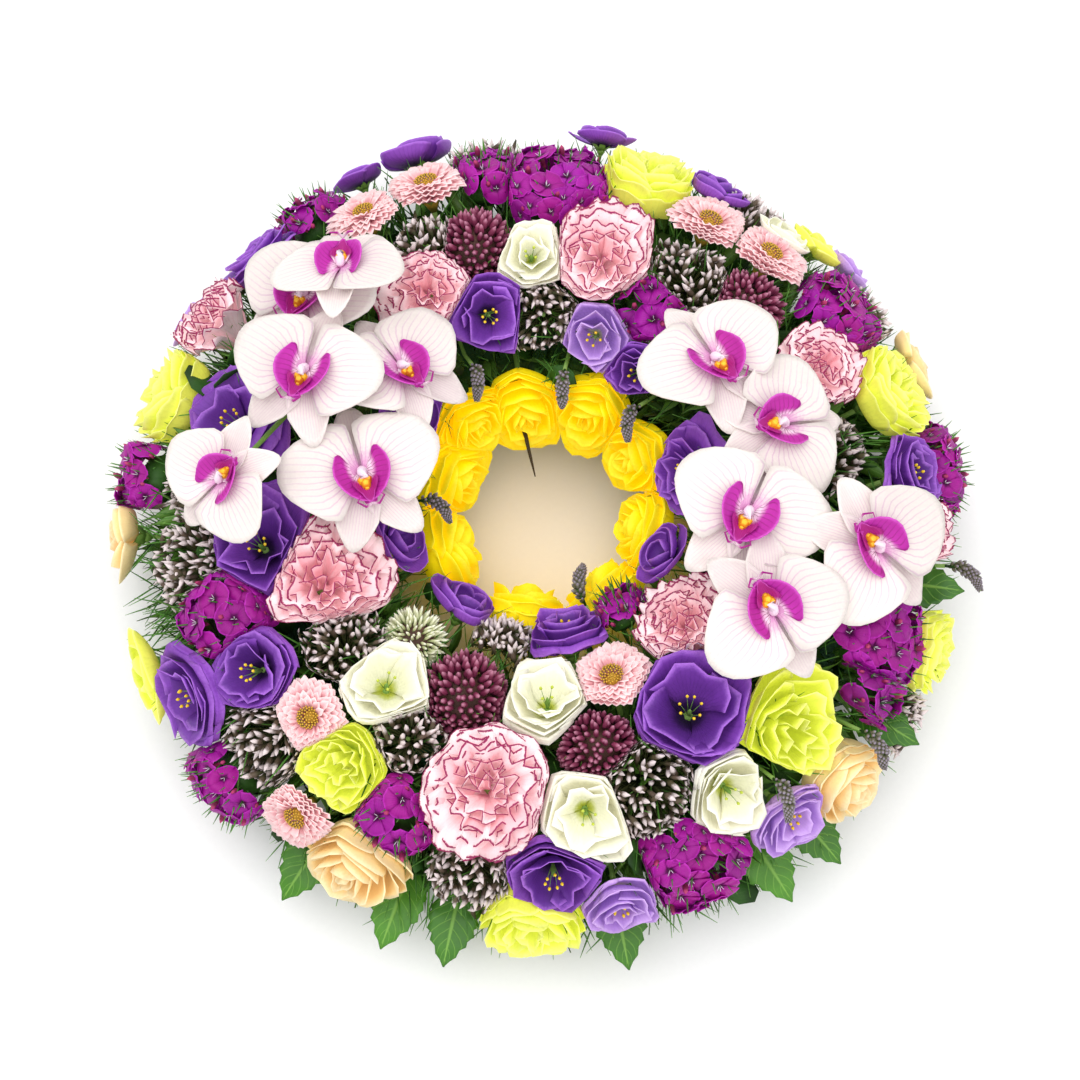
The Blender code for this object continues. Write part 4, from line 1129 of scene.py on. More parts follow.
@dataclass(frozen=True)
class Trachelium(Head):
    """A bunch of slender pointed buds, dark at the foot and pale at the tip.

    spacing, lengths, widths and overlap, a thread's way into its bud, are millimetres.
    """

    fill: float = 1.75
    calyx: float = 0.95
    spacing: float = 4.5
    crowding: float = 1.45
    cap: float = 1.45
    splay: float = 0.62
    flat: float = 0.98
    reaches: tuple[float, float] = (0.70, 1.02)
    lengths: tuple[float, float] = (10.0, 17.0)
    widths: tuple[float, float] = (1.3, 2.1)
    root: float = 1.25
    overlap: float = 1.5

    def build(self, blanks: Blanks, rng: Rng) -> Model:
        """Buds on threads over a flat dome."""
        half, deep = self.half, self.deep
        count = int(self.crowding * math.pi * half * half / self.spacing**2 / 2)
        ways = dome(count, self.cap, rng)
        spans = np.array([half, half, deep * self.flat])
        tops = ways * spans * draws(rng, (count, 1), *self.reaches) + (0.0, 0.0, -deep)
        aims = ways / spans * deep + draws(rng, (count, 3), -self.splay, self.splay)
        rolls, marks = draws(rng, count, 0, MOST_ROLL), draws(rng, (count, 2))
        lengths, wide = draws(rng, count, *self.lengths), draws(rng, count, *self.widths)
        units = aims / np.linalg.norm(aims, axis=1, keepdims=True)
        starts = tops - units * lengths[:, None]
        sizes = slender(wide, lengths)
        buds = blanks.bud.strewn(aims, starts, sizes, self.finish, rolls, marks)
        foot = np.array([0.0, 0.0, -self.root * deep])
        back = starts + units * self.overlap - foot
        sizes = slender(0.45, np.linalg.norm(back, axis=1))
        # The threads' dark finish is partly painted shade of the gaps under the buds.
        return joined([buds, blanks.thread.strewn(back, foot, sizes, "bract", rolls, marks)])


@dataclass(frozen=True)
class Veronica(Head):
    """A bent tapering spike of small buds."""

    fill: float = 1.0
    slope: float = 66.0
    foot: float = 10.0
    radii: tuple[float, ...] = (2.0, 3.6, 2.9, 0.9)
    count: int = 110
    rooted: float = 0.25
    rising: float = 0.9
    core: float = 0.4

    def stem_gap(self) -> float:
        """Its stem ends at its foot."""
        return self.foot

    def stance(self, arm: Vector, roll: float) -> Matrix:
        """Bent towards the front at the back of the ring, and towards the back at its front."""
        return facing(arm, 0.0 if arm.y < 0 else 180.0)

    def spine(self) -> list[Vector]:
        """Points of the spike's axis, as in the solids."""
        points, tip = [], Vector((0, 0, -self.foot))
        step = self.width / (len(self.radii) - 1)
        for k in range(len(self.radii)):
            bend = math.radians(self.slope) * min(1.0, k / 2)
            points.append(tip.copy())
            tip = tip + Vector((0, -math.sin(bend), math.cos(bend))) * step
        return points

    def build(self, blanks: Blanks, rng: Rng) -> Model:
        """Buds round the spine, smaller to its tip."""
        spine, last = tuples(self.spine()), len(self.radii) - 1
        shares = np.sqrt((np.arange(self.count) + 0.5) / self.count * 0.97) * last
        rows = np.clip(shares.astype(int), 0, last - 1)
        part = (shares - rows)[:, None]
        points = spine[rows] * (1 - part) + spine[rows + 1] * part
        along = spine[rows + 1] - spine[rows]
        along /= np.linalg.norm(along, axis=1, keepdims=True)
        radii = np.interp(shares, range(last + 1), self.radii)
        side = np.array([1.0, 0.0, 0.0])
        angles = np.arange(self.count) * GOLDEN_TURN
        out = side * np.cos(angles)[:, None] + np.cross(along, side) * np.sin(angles)[:, None]
        sizes = slender(0.34 * radii + 0.25, radii * 1.15 + 1.0)
        origins = points + out * radii[:, None] * self.rooted
        aims, marks = out + along * self.rising, tinted(rng, self.count, shares / last)
        buds = blanks.bud.strewn(aims, origins, sizes, self.finish, angles, marks)
        core = stalk(blanks.tube, self.spine(), [r * self.core for r in self.radii])
        return joined([buds, core.finished("needle_green")])


@dataclass(frozen=True)
class LeafBlade:
    """A toothed leaf along +Z from its root, folded on its midrib and drooping to its tip."""

    length: float
    half_width: float = 0.36
    fold: float = 0.10
    droop: float = 0.25
    teeth: int = 7
    bite: float = 0.30

    def __call__(self, u: Array, v: Array) -> Array:
        """Points of the blade."""
        v = np.clip(v, 0.0, 1.0)
        shape = np.sin(math.pi * np.clip(v, 0.004, 0.996) ** 0.72) ** 0.85
        saw = (v * self.teeth) % 1.0
        across = self.half_width * self.length * shape * u * (1 - self.bite * saw * np.abs(u) ** 3)
        down = self.fold * np.abs(across) - self.droop * self.length * v * v
        ripple = 0.018 * self.length * np.sin(v * 19) * np.abs(u)
        return np.stack([across, down + ripple, self.length * (v - 0.04 * np.abs(u) * saw)], axis=1)


@dataclass(frozen=True)
class Leaf(Head):
    """A serrated leaf; its blade starts inside the flowers and its tip looks out."""

    fill: float = 1.0
    sink: float = 0.8

    def stem_gap(self) -> float:
        """Its stem ends at the blade's root."""
        return self.sink * self.width

    def stance(self, arm: Vector, roll: float) -> Matrix:
        """Its upper face is turned up."""
        return facing(arm, 0.0, Vector((0, 0, 1)))

    def build(self, blanks: Blanks, rng: Rng) -> Model:
        """The blade on its root."""
        form = LeafBlade(self.width, droop=rng.uniform(0.15, 0.28))
        blade = petal(blanks.leaf, form, self.thickness).marked(rng.random(), 0.5)
        return blade.finished(self.finish).sized((1, 1, 1), (0, 0, -self.stem_gap()))


@dataclass(frozen=True)
class OrchidFlower:
    """A moth orchid that faces +Z with its top sepal towards +Y; shares of half its width."""

    width: float
    petal_length: float = 1.0
    petal_width: float = 0.60
    petal_rise: float = 17.0
    sepal_length: float = 0.94
    sepal_width: float = 0.27
    foot_angle: float = -64.0
    last_lean: float = 1.85
    sway: float = 4.0
    thickness: float = 0.8
    lip: float = 0.375
    lobe_angle: float = 66.0
    lobe_thickness: float = 0.7

    def build(self, blanks: Blanks, rng: Rng) -> Model:
        """Sepals behind, petals before them, then lip and column."""
        half = self.width / 2
        parts = []
        for angle, broad, lift, low in (
            (90.0, False, -2.2, 1.50),
            (self.foot_angle, False, -2.4, 1.45),
            (180 - self.foot_angle, False, -2.4, 1.45),
            (self.petal_rise, True, 0.0, 1.30),
            (180 - self.petal_rise, True, 0.6, 1.30),
        ):
            length = self.petal_length if broad else self.sepal_length
            form = BladePetal(
                length=length * half * rng.uniform(0.97, 1.04),
                width=(self.petal_width if broad else self.sepal_width) * half,
                lean=(low, self.last_lean),
                start=0.02 * half,
                base=lift,
                root=0.12 if broad else 0.35,
                widest=0.62,
                crown=0.62 if broad else 0.42,
                point=2.2 if broad else 1.8,
                cup=(0.05 if broad else 0.08) * half * rng.uniform(0.6, 1.4),
                ruffle=0.018 * half,
                waves=rng.uniform(1.2, 2.4),
                phase=rng.uniform(0, 6),
            )
            one = petal(blanks.broad, form, self.thickness)
            one = one.marked(rng.random(), 0.0 if broad else 1.0)
            turn = math.radians(angle + rng.uniform(-self.sway, self.sway))
            parts.append(one.placed(Matrix.Rotation(turn, 4, "Z")).finished("orchid_petal"))
        return joined(parts + self.throat(blanks, rng, self.lip * half))

    def throat(self, blanks: Blanks, rng: Rng, size: float) -> list[Model]:
        """Side lobes, mid lobe with its two tendrils, callus and column.

        Args:
            blanks: the repeated shapes.
            rng: this flower's own draws.
            size: length of the lip.

        Returns:
            The parts.
        """
        lobe = BladePetal(
            length=size * 1.12,
            width=size * 0.98,
            lean=(1.30, 0.35),
            start=size * 0.10,
            base=0.5,
            root=0.40,
            widest=0.50,
            crown=0.66,
            point=2.2,
            cup=size * 0.20,
        )
        mid = BladePetal(
            length=size * 1.15,
            width=size * 0.42,
            lean=(1.45, 0.9),
            base=1.0,
            root=0.5,
            widest=0.4,
            taper=0.55,
            cup=size * 0.30,
        )
        lips = [
            petal(blanks.cup, lobe, self.lobe_thickness)
            .marked(rng.random(), 0.2)
            .placed(Matrix.Rotation(math.radians(side * self.lobe_angle - 90), 4, "Z"))
            for side in (-1, 1)
        ]
        middle = petal(blanks.cup, mid, self.thickness).marked(0.5, 0.8)
        lips.append(middle.placed(Matrix.Rotation(-math.pi / 2, 4, "Z")))
        for side in (-1, 1):
            steps = ((0, 0, 0), (0.22, -0.10, 0.16), (0.44, 0.08, 0.30), (0.30, 0.22, 0.42))
            curl = [Vector((side * x, y - 1.10, z + 0.52)) * size for x, y, z in steps]
            lips.append(stalk(blanks.tube, curl, [0.9, 0.7, 0.5, 0.3]))
        spots = np.array(
            [(0.0, -0.34, 0.20), (-0.11, -0.22, 0.16), (0.11, -0.22, 0.16), (0.0, -0.48, 0.13)]
        )
        origins = spots * (size, size, 0) + (0, 0, 1.4)
        sizes = slender(spots[:, 2] * size, spots[:, 2] * size * 1.9)
        ways, marks = np.tile([0.0, 0.0, 1.0], (len(spots), 1)), draws(rng, (len(spots), 2))
        callus = blanks.bead.strewn(ways, origins, sizes, "callus", 0.0, marks)
        hood = ((0.05, 0), (0.10, 0.22), (-0.02, 0.40), (-0.20, 0.46), (-0.30, 0.40))
        path = [Vector((0, y, z)) * size for y, z in hood]
        column = stalk(blanks.tube, path, [share * size for share in (0.14, 0.17, 0.18, 0.15, 0.05)])
        return [joined(lips).finished("orchid_lip"), callus, column.finished("orchid_column")]


def tone(code: str) -> tuple[float, float, float, float]:
    """A colour in Blender's linear values from its six hexadecimal digits."""
    values = [int(code[k : k + 2], 16) / 255 for k in (0, 2, 4)]
    linear = [c / 12.92 if c <= 0.04045 else ((c + 0.055) / 1.055) ** 2.4 for c in values]
    return (*linear, 1.0)


@dataclass(frozen=True)
class PetalFinish:
    """A petal, bud or floret: its six colours, its pattern from root to rim, its relief and its
    painted glow.
    """

    # The fourth colour is partly the heart's own warmer tone and partly painted shade of petals deep
    # in the flower.
    LABELS: ClassVar[str] = "Body Throat Rim Deep Other Vein"
    colours: str
    throat_reach: float = 0.35
    rim_start: float = 0.86
    rim_soft: float = 0.2
    fray: float = 0.1
    other_share: float = 0.5
    vein_share: float = 0.2
    vein_count: float = 11.0
    mottle: float = 0.18
    roughness: float = 0.55
    # Emission of the petal's own colour: painted light that stands in for light shining through the
    # petal and lifts its shade.
    glow: float = 0.10
    relief: float = 0.35


@dataclass(frozen=True)
class LeafFinish:
    """A leaf: its blade, the patches on it and its veins."""

    LABELS: ClassVar[str] = "Body Other Vein"
    colours: str
    vein_count: float = 8.0
    roughness: float = 0.42
    relief: float = 0.5


@dataclass(frozen=True)
class GrainFinish:
    """A grained material: its two colours and two scales of grain."""

    LABELS: ClassVar[str] = "Body Worn"
    colours: str
    coarse_scale: float
    fine_scale: float
    share: float
    roughness: float
    relief: float


Finish = PetalFinish | LeafFinish | GrainFinish
SHADER_FIELDS = ("colours", "roughness", "glow", "relief")
BUMP_STRENGTH, PETAL_SPECULAR = 0.6, 0.3
# Scales of the soft clouds and of the fine grain, on petals and on leaves.
PETAL_NOISE, LEAF_NOISE = (110, 620), (90, 800)
FOAM_FINISH = GrainFinish("1E4A2C 2E6A40", 60, 900, 0.7, 0.95, 1.2)
TRAY_FINISH = GrainFinish("1A211C 2C342E", 35, 1400, 0.3, 0.42, 0.12)
FLOOR_FINISH = GrainFinish("FBFBFB F6F6F6", 6, 300, 0.05, 0.8, 0.05)
FINISHES = {
    "yellow_petal": PetalFinish("FFE606 F6CC00 FFF030 FFD80A FFE008 F8D000", mottle=0.1, glow=0.2),
    "lime_petal": PetalFinish(
        "ECF058 B8D03C F4F78A DAE248 E8EC66 BED04A",
        mottle=0.28, relief=0.5, glow=0.18,
    ),
    "peach_petal": PetalFinish("F8E0A4 E6C678 FBECC0 EFC486 F4D696 E8C286", glow=0.09),
    "carnation_petal": PetalFinish(
        "FADADF E096A6 98285A EBA6B0 FCE6E7 E08AA0",
        throat_reach=0.4, rim_start=0.966, rim_soft=0.02, fray=0.06,
        vein_count=14, relief=0.4, glow=0.14,
    ),
    "daisy_petal": PetalFinish("F2B9C0 C96C80 FBDCDC DE9098 F6CDD0 D67E8E", 0.45, 0.75, 0.3),
    "disc_gold": PetalFinish("8E7A2A 5E5A1C D9A83A 7A6A22 A8862E 6A5A1C", 0.3, 0.5, 0.4),
    "allium_floret": PetalFinish("7A2A4A 3E1226 B77A92 5E1A38 8E3E5C 5A1A34", 0.35, 0.62, 0.4),
    "globe_core": PetalFinish("5A3A34 3A2A22 6E4A40 46302A 64443A 3A2A22", glow=0.0),
    "scabiosa_thread": PetalFinish("D9DCB0 9DB070 F2F2DC C2CC90 E6E6C6 B8C48A", 0.4, 0.5, 0.4),
    "white_petal": PetalFinish(
        "F6F4E4 C4CC48 FAF9EE F2F1D4 F1EEDA E4E4C4",
        throat_reach=0.34, relief=0.55, glow=0.06,
    ),
    "purple_petal": PetalFinish(
        "904EBA 220C36 AC6CD8 562682 7C3EAA 4E247A",
        throat_reach=0.44, mottle=0.4, vein_share=0.4, vein_count=19, relief=0.6,
    ),
    "lavender_petal": PetalFinish(
        "BE92DC C8C4A0 D2ACEC 986AC4 C49EDE 8C60B6",
        throat_reach=0.3, vein_share=0.35, vein_count=19, relief=0.6,
    ),
    "orchid_petal": PetalFinish(
        "E6DCD7 DC9CC8 ECE4DE E2D4D2 E8DED8 BE6AB4",
        throat_reach=0.36, fray=0.2, other_share=0.3, vein_share=0.46, vein_count=15,
        mottle=0.1, roughness=0.5, glow=0.0,
    ),
    "orchid_lip": PetalFinish(
        "C432B4 F6DCEA D85CCA 96105E A81C86 76104E",
        0.36, 0.88, 0.2, vein_share=0.7,
    ),
    "orchid_column": PetalFinish("F2DDEA C45AA4 F8EEF4 E8C8DC F4E4EE D48CC0"),
    "callus": PetalFinish("F2B01E E0801C FFCE3A C04A14 F0A01C 8E1E1A", mottle=1.0, relief=0.8),
    "sweet_william_petal": PetalFinish(
        "AA10A8 54064A C22CBC 780670 980C82 72086C",
        0.34, other_share=0.7, vein_share=0.6, vein_count=8,
    ),
    "dark_bud": PetalFinish("7A1848 4A5A26 B03A6A 5A1436 8C2050 4A1030", 0.35, 0.6, 0.3),
    "thread_white": PetalFinish("EEE4F0 B86AC0 F8F4F8 E8DCEA F0E8F2 D0A0D4"),
    "trachelium_bud": PetalFinish("503E34 34381C DED0D0 4E4A2C 66544A 34381C", 0.42, 0.5, 0.28, 0.3),
    "veronica_bud": PetalFinish("62624A 3A4426 988CA0 54523E 767260 3A4426", 0.4, 0.6, 0.4),
    "stamen_yellow": PetalFinish("F0C61A B88A10 F8DE4A E0A810 F4D030 C89010"),
    "knob_green": PetalFinish("B4C43A 8CA02C CCD858 A4B434 C0CC48 8CA02C"),
    "stem_green": PetalFinish("6F9440 567A2E 8CAE5C 5E8438 7AA04A 4E7028"),
    # Trachelium threads: their dark brown-olive is partly their own colour and partly painted shade
    # of the gaps between flowers.
    "bract": PetalFinish("4A5428 38381E 6E763C 3C4222 5C5E34 38381E", glow=0.0),
    "twig": PetalFinish("3A3028 2A221C 4A3E34 322A22 443828 2A221C", glow=0.0),
    "needle_green": PetalFinish("467A2C 24481A 7FB04C 2E5A22 5C9438 2A5220"),
    "dark_green": PetalFinish("2E5A1C 1E3E12 4A7A2C 244A16 386822 1E3E12", glow=0.0),
    "leaf_green": LeafFinish("2C640A 4A8A16 8CC04E"),
    "lance_green": LeafFinish("24500F 3F7A1C 86B44C", 0.0),
}


def number_labels(kind: type) -> dict[str, str]:
    """The numbers of a finish that its node group reads: field and label."""
    names = [part.name for part in fields(kind) if part.name not in SHADER_FIELDS]
    return {name: name.replace("_", " ").title() for name in names}


class Sketch:
    """Adds the nodes of one tree and links them."""

    def __init__(self, tree: Tree) -> None:
        """Start on a tree."""
        self.tree = tree

    def add(self, kind: str, inputs: dict | None = None, **settings: object) -> bpy.types.Node:
        """Add a node.

        Args:
            kind: the node's type.
            inputs: a value or a socket for each named or numbered input.
            settings: the node's own properties.

        Returns:
            The node.
        """
        node = self.tree.nodes.new(kind)
        for name, value in settings.items():
            setattr(node, name, value)
        for key, value in (inputs or {}).items():
            if isinstance(value, Socket):
                self.tree.links.new(value, node.inputs[key])
            else:
                node.inputs[key].default_value = value
        return node

    def maths(self, operation: str, *values: object) -> Socket:
        """Result of a Math node."""
        return self.add("ShaderNodeMath", dict(enumerate(values)), operation=operation).outputs[0]

    def eased(self, value: object, low: object, high: object) -> Socket:
        """Mask that eases from 0 at low to 1 at high."""
        inputs = {"Value": value, "From Min": low, "From Max": high}
        node = self.add("ShaderNodeMapRange", inputs, interpolation_type="SMOOTHSTEP")
        return node.outputs["Result"]

    def mixed(self, share: object, first: object, second: object, mode: str = "MIX") -> Socket:
        """Two colours mixed by a share."""
        inputs = {0: share, 6: first, 7: second}
        node = self.add("ShaderNodeMix", inputs, data_type="RGBA", blend_type=mode)
        return node.outputs[2]

    def faded(self, value: object, low: object, high: object) -> Socket:
        """Mask that eases from 1 at low to 0 at high."""
        return self.maths("SUBTRACT", 1.0, self.eased(value, low, high))

    def swayed(self, value: object, amount: object, base: object) -> Socket:
        """A base value moved up and down by what a value has above and below a half."""
        return self.maths("MULTIPLY_ADD", self.maths("SUBTRACT", value, 0.5), amount, base)

    def petal_place(self) -> list[Socket]:
        """Place across and along the petal, and its tint."""
        place = self.add("ShaderNodeUVMap", uv_map="petal").outputs[0]
        split = self.add("ShaderNodeSeparateXYZ", {0: place})
        return [split.outputs[0], split.outputs[1], self.mark("tint")]

    def mark(self, name: str) -> Socket:
        """One of the marks that every vertex carries."""
        return self.add("ShaderNodeAttribute", attribute_name=name).outputs["Fac"]

    def put_out(self, colour: object, light: object, height: object) -> Tree:
        """End a group with its colour, lit unevenly, and its height."""
        shade = self.add("ShaderNodeCombineColor", {0: light, 1: light, 2: light}).outputs[0]
        lit = self.mixed(1.0, colour, shade, "MULTIPLY")
        self.add("NodeGroupOutput", {"Color": lit, "Height": height})
        return self.tree

    def noise(self, scale: object, detail: float, distortion: float = 0.0) -> Socket:
        """Noise in the object's own coordinates, which are metres."""
        place = self.add("ShaderNodeTexCoord").outputs["Object"]
        inputs = {"Vector": place, "Scale": scale, "Detail": detail, "Distortion": distortion}
        return self.add("ShaderNodeTexNoise", inputs).outputs["Fac"]


def new_group(name: str, kind: type) -> tuple[Sketch, bpy.types.NodeInputs]:
    """A shader node group that puts out a colour and a height.

    Args:
        name: of the group.
        kind: finish whose colours and numbers it takes in.

    Returns:
        A sketch of the group, and the sockets that its inputs arrive on.
    """
    tree = bpy.data.node_groups.new(name, "ShaderNodeTree")
    for label in kind.LABELS.split():
        tree.interface.new_socket(label, in_out="INPUT", socket_type="NodeSocketColor")
    for label in number_labels(kind).values():
        tree.interface.new_socket(label, in_out="INPUT", socket_type="NodeSocketFloat")
    tree.interface.new_socket("Color", in_out="OUTPUT", socket_type="NodeSocketColor")
    tree.interface.new_socket("Height", in_out="OUTPUT", socket_type="NodeSocketFloat")
    sketch = Sketch(tree)
    return sketch, sketch.add("NodeGroupInput").outputs


def petal_group() -> Tree:
    """Throat, painted shade towards the heart, veins, frayed rim, mottling and crease relief of
    petals.
    """
    s, given = new_group("petal_pattern", PetalFinish)
    u, v, tint = s.petal_place()
    clouds, grains = PETAL_NOISE
    cloud, grain = s.noise(clouds, 3.0, 0.4), s.noise(grains, 4.0)
    ragged = s.swayed(grain, given["Fray"], v)
    # Painted shade: petals deeper in the flower take more of the darker, warmer heart colour.
    colour = s.mixed(s.mark("depth"), given["Body"], given["Deep"])
    shift = s.maths("MULTIPLY", s.maths("MULTIPLY", tint, given["Other Share"]), 1.6)
    colour = s.mixed(shift, colour, given["Other"])
    near = s.maths("MULTIPLY", given["Throat Reach"], 0.25)
    colour = s.mixed(s.faded(ragged, near, given["Throat Reach"]), colour, given["Throat"])
    end = s.maths("ADD", given["Rim Start"], given["Rim Soft"])
    rim = s.eased(ragged, given["Rim Start"], end)
    spread = s.maths("MULTIPLY", s.maths("SUBTRACT", u, 0.5), given["Vein Count"])
    ridge = s.maths("PINGPONG", s.maths("MULTIPLY_ADD", cloud, 0.5, spread), 0.5)
    fade = s.maths("MULTIPLY", s.faded(ridge, 0.02, 0.17), s.maths("SUBTRACT", 1.15, v))
    colour = s.mixed(s.maths("MULTIPLY", fade, given["Vein Share"]), colour, given["Vein"])
    colour = s.mixed(rim, colour, given["Rim"])
    light = s.swayed(cloud, given["Mottle"], 1.0)
    light = s.swayed(tint, 0.12, s.swayed(grain, 0.12, light))
    crease = s.maths("MULTIPLY_ADD", cloud, 1.2, s.maths("MULTIPLY", fade, 0.5))
    return s.put_out(colour, light, s.maths("MULTIPLY_ADD", grain, 0.35, crease))


def leaf_group() -> Tree:
    """Midrib, side veins and patches of a leaf."""
    s, given = new_group("leaf_pattern", LeafFinish)
    u, v, tint = s.petal_place()
    clouds, grains = LEAF_NOISE
    cloud, grain = s.noise(clouds, 3.0, 0.5), s.noise(grains, 4.0)
    side = s.maths("ABSOLUTE", s.maths("SUBTRACT", u, 0.5))
    climb = s.maths("SUBTRACT", v, s.maths("MULTIPLY", side, 0.55))
    wave = s.maths("PINGPONG", s.maths("MULTIPLY", climb, given["Vein Count"]), 0.5)
    branch = s.maths("MULTIPLY", s.faded(wave, 0.015, 0.11), 0.55)
    vein = s.maths("MAXIMUM", s.faded(side, 0.012, 0.05), branch)
    patch = s.maths("MULTIPLY_ADD", tint, 0.8, s.maths("SUBTRACT", cloud, 0.4))
    colour = s.mixed(patch, given["Body"], given["Other"])
    colour = s.mixed(s.maths("MULTIPLY", vein, 0.6), colour, given["Vein"])
    sunk = s.maths("ADD", s.maths("MULTIPLY", vein, -0.7), cloud)
    height = s.maths("MULTIPLY_ADD", grain, 0.3, sunk)
    return s.put_out(colour, s.swayed(grain, 0.25, 1.0), height)


def grain_group() -> Tree:
    """Fine and coarse grain in two colours, for moulded plastic, foam and the floor."""
    s, given = new_group("grain_pattern", GrainFinish)
    coarse, fine = s.noise(given["Coarse Scale"], 3.0), s.noise(given["Fine Scale"], 5.0)
    patch = s.maths("MULTIPLY", s.eased(coarse, 0.42, 0.68), given["Share"])
    colour = s.mixed(patch, given["Body"], given["Worn"])
    height = s.maths("MULTIPLY_ADD", coarse, 0.4, fine)
    return s.put_out(colour, s.swayed(fine, given["Share"], 1.0), height)


class Palette:
    """Makes each material once, from its finish."""

    def __init__(self) -> None:
        """Build the node groups."""
        self.groups = {
            PetalFinish: petal_group(),
            LeafFinish: leaf_group(),
            GrainFinish: grain_group(),
        }
        self.made: dict[str, bpy.types.Material] = {}

    def material(self, name: str, finish: Finish) -> bpy.types.Material:
        """The material of a finish.

        Args:
            name: of the material.
            finish: its colours and numbers.

        Returns:
            The material, made on the first call.
        """
        if name in self.made:
            return self.made[name]
        material = bpy.data.materials.new(name)
        material.use_nodes = True
        material.node_tree.nodes.clear()
        s = Sketch(material.node_tree)
        pattern = s.add("ShaderNodeGroup", node_tree=self.groups[type(finish)])
        for label, code in zip(finish.LABELS.split(), finish.colours.split()):
            pattern.inputs[label].default_value = tone(code)
        for name_of_field, label in number_labels(type(finish)).items():
            pattern.inputs[label].default_value = getattr(finish, name_of_field)
        colour, height = pattern.outputs["Color"], pattern.outputs["Height"]
        relief = {"Height": height, "Strength": BUMP_STRENGTH, "Distance": finish.relief * MM}
        bump = s.add("ShaderNodeBump", relief).outputs[0]
        coat = {"Base Color": colour, "Normal": bump, "Roughness": finish.roughness}
        # Painted glow: the petal emits its own colour, so its shaded side looks lit as if light shone
        # through it.
        shader = s.add("ShaderNodeBsdfPrincipled", coat)
        if isinstance(finish, PetalFinish):
            shader.inputs["Emission Strength"].default_value = finish.glow
            s.tree.links.new(colour, shader.inputs["Emission Color"])
            shader.inputs["Specular IOR Level"].default_value = PETAL_SPECULAR
        s.add("ShaderNodeOutputMaterial", {"Surface": shader.outputs[0]})
        self.made[name] = material
        return material

    def piece(self, name: str, model: Model, nodes: list[str], slot: str) -> bpy.types.Object:
        """Turn a shape into a piece of the wreath.

        Args:
            name: of the piece.
            model: its shape in millimetres.
            nodes: solids that it stands for.
            slot: material slot of the record; not used.

        Returns:
            The piece, riding on the root.
        """
        used, slots = np.unique(model.slots, return_inverse=True)
        mesh = bpy.data.meshes.new(name)
        mesh.vertices.add(len(model.points))
        mesh.vertices.foreach_set("co", (model.points * MM).astype(np.float32).ravel())
        mesh.loops.add(len(model.corners))
        mesh.loops.foreach_set("vertex_index", model.corners.astype(np.int32))
        mesh.polygons.add(len(model.sizes))
        starts = np.concatenate([[0], np.cumsum(model.sizes)[:-1]])
        mesh.polygons.foreach_set("loop_start", starts.astype(np.int32))
        mesh.polygons.foreach_set("material_index", slots.astype(np.int32))
        layer = mesh.uv_layers.new(name="petal")
        layer.data.foreach_set("uv", model.uv[model.corners].astype(np.float32).ravel())
        for index, label in enumerate(("tint", "depth")):
            mark = mesh.attributes.new(label, "FLOAT", "POINT")
            mark.data.foreach_set("value", model.marks[:, index].astype(np.float32))
        mesh.update()
        mesh.validate()
        mesh.shade_smooth()
        names = list(FINISHES)
        for index in used:
            mesh.materials.append(self.material(names[index], FINISHES[names[index]]))
        item = bpy.data.objects.new(name, mesh)
        bpy.context.scene.collection.objects.link(item)
        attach(item, "root")
        if nodes:
            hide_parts(*nodes)
        LOG.info("%s: %d faces", name, len(model.sizes))
        return item


class Cells:
    """Keeps every bloom on its own side of a plane between it and each neighbour."""

    def __init__(self, blooms: list[Bloom]) -> None:
        """Work out root and face point of each bloom."""
        self.blooms = blooms
        self.faces = tuples([shell_point(b.clock, b.lean, b.rise) for b in blooms])
        self.roots = tuples([axis_point(b, STEM_ROOT) for b in blooms])
        self.widths = np.array([b.width for b in blooms])

    def press(self, bloom: Bloom, model: Model) -> Model:
        """Draw each point towards the bloom's axis until it lies inside its cell.

        Args:
            bloom: whose cell it is.
            model: its head in place.

        Returns:
            The pressed head.
        """
        own = [b.name for b in self.blooms].index(bloom.name)
        between = self.faces - self.faces[own]
        reach = (self.widths + self.widths[own]) / 2 * WIDEST_FILL + NEIGHBOUR_MARGIN
        distance = np.linalg.norm(between, axis=1)
        near = (distance <= reach) & (distance > 0)
        between = between[near]
        share = self.widths[own] / (self.widths[near] + self.widths[own])
        tops = self.faces[own] + between * share[:, None]
        feet = (self.roots[near] + self.roots[own]) / 2
        along = tops - feet
        along /= np.linalg.norm(along, axis=1, keepdims=True)
        normals = between - along * np.sum(between * along, axis=1, keepdims=True)
        normals /= np.linalg.norm(normals, axis=1, keepdims=True)
        axis = self.faces[own] - self.roots[own]
        axis /= np.linalg.norm(axis)
        height = (model.points - self.roots[own]) @ axis
        spots = self.roots[own] + height[:, None] * axis
        start = np.einsum("nmk,mk->nm", spots[:, None] - feet[None], normals)
        slope = (model.points - spots) @ normals.T
        stretch = np.max(slope / np.maximum(-CELL_GAP - start, LEAST_ROOM), axis=1)
        room = 1 - CELL_SOFT
        soft = 1 - room * room / (room + np.maximum(stretch - CELL_SOFT, 0))
        ratio = np.where(stretch > CELL_SOFT, soft / np.maximum(stretch, TINY), 1.0)
        ratio = np.where(height < 0, 1.0, ratio)
        return model.at(spots + (model.points - spots) * ratio[:, None])


# The first letter of a bloom's name gives its colour; some of the purple ones are lavender.
COLOUR_OF_LETTER = {"P": "purple", "L": "lime", "W": "white", "R": "peach"}
LAVENDER = {"P6", "P8", "P19", "P20", "P25"}
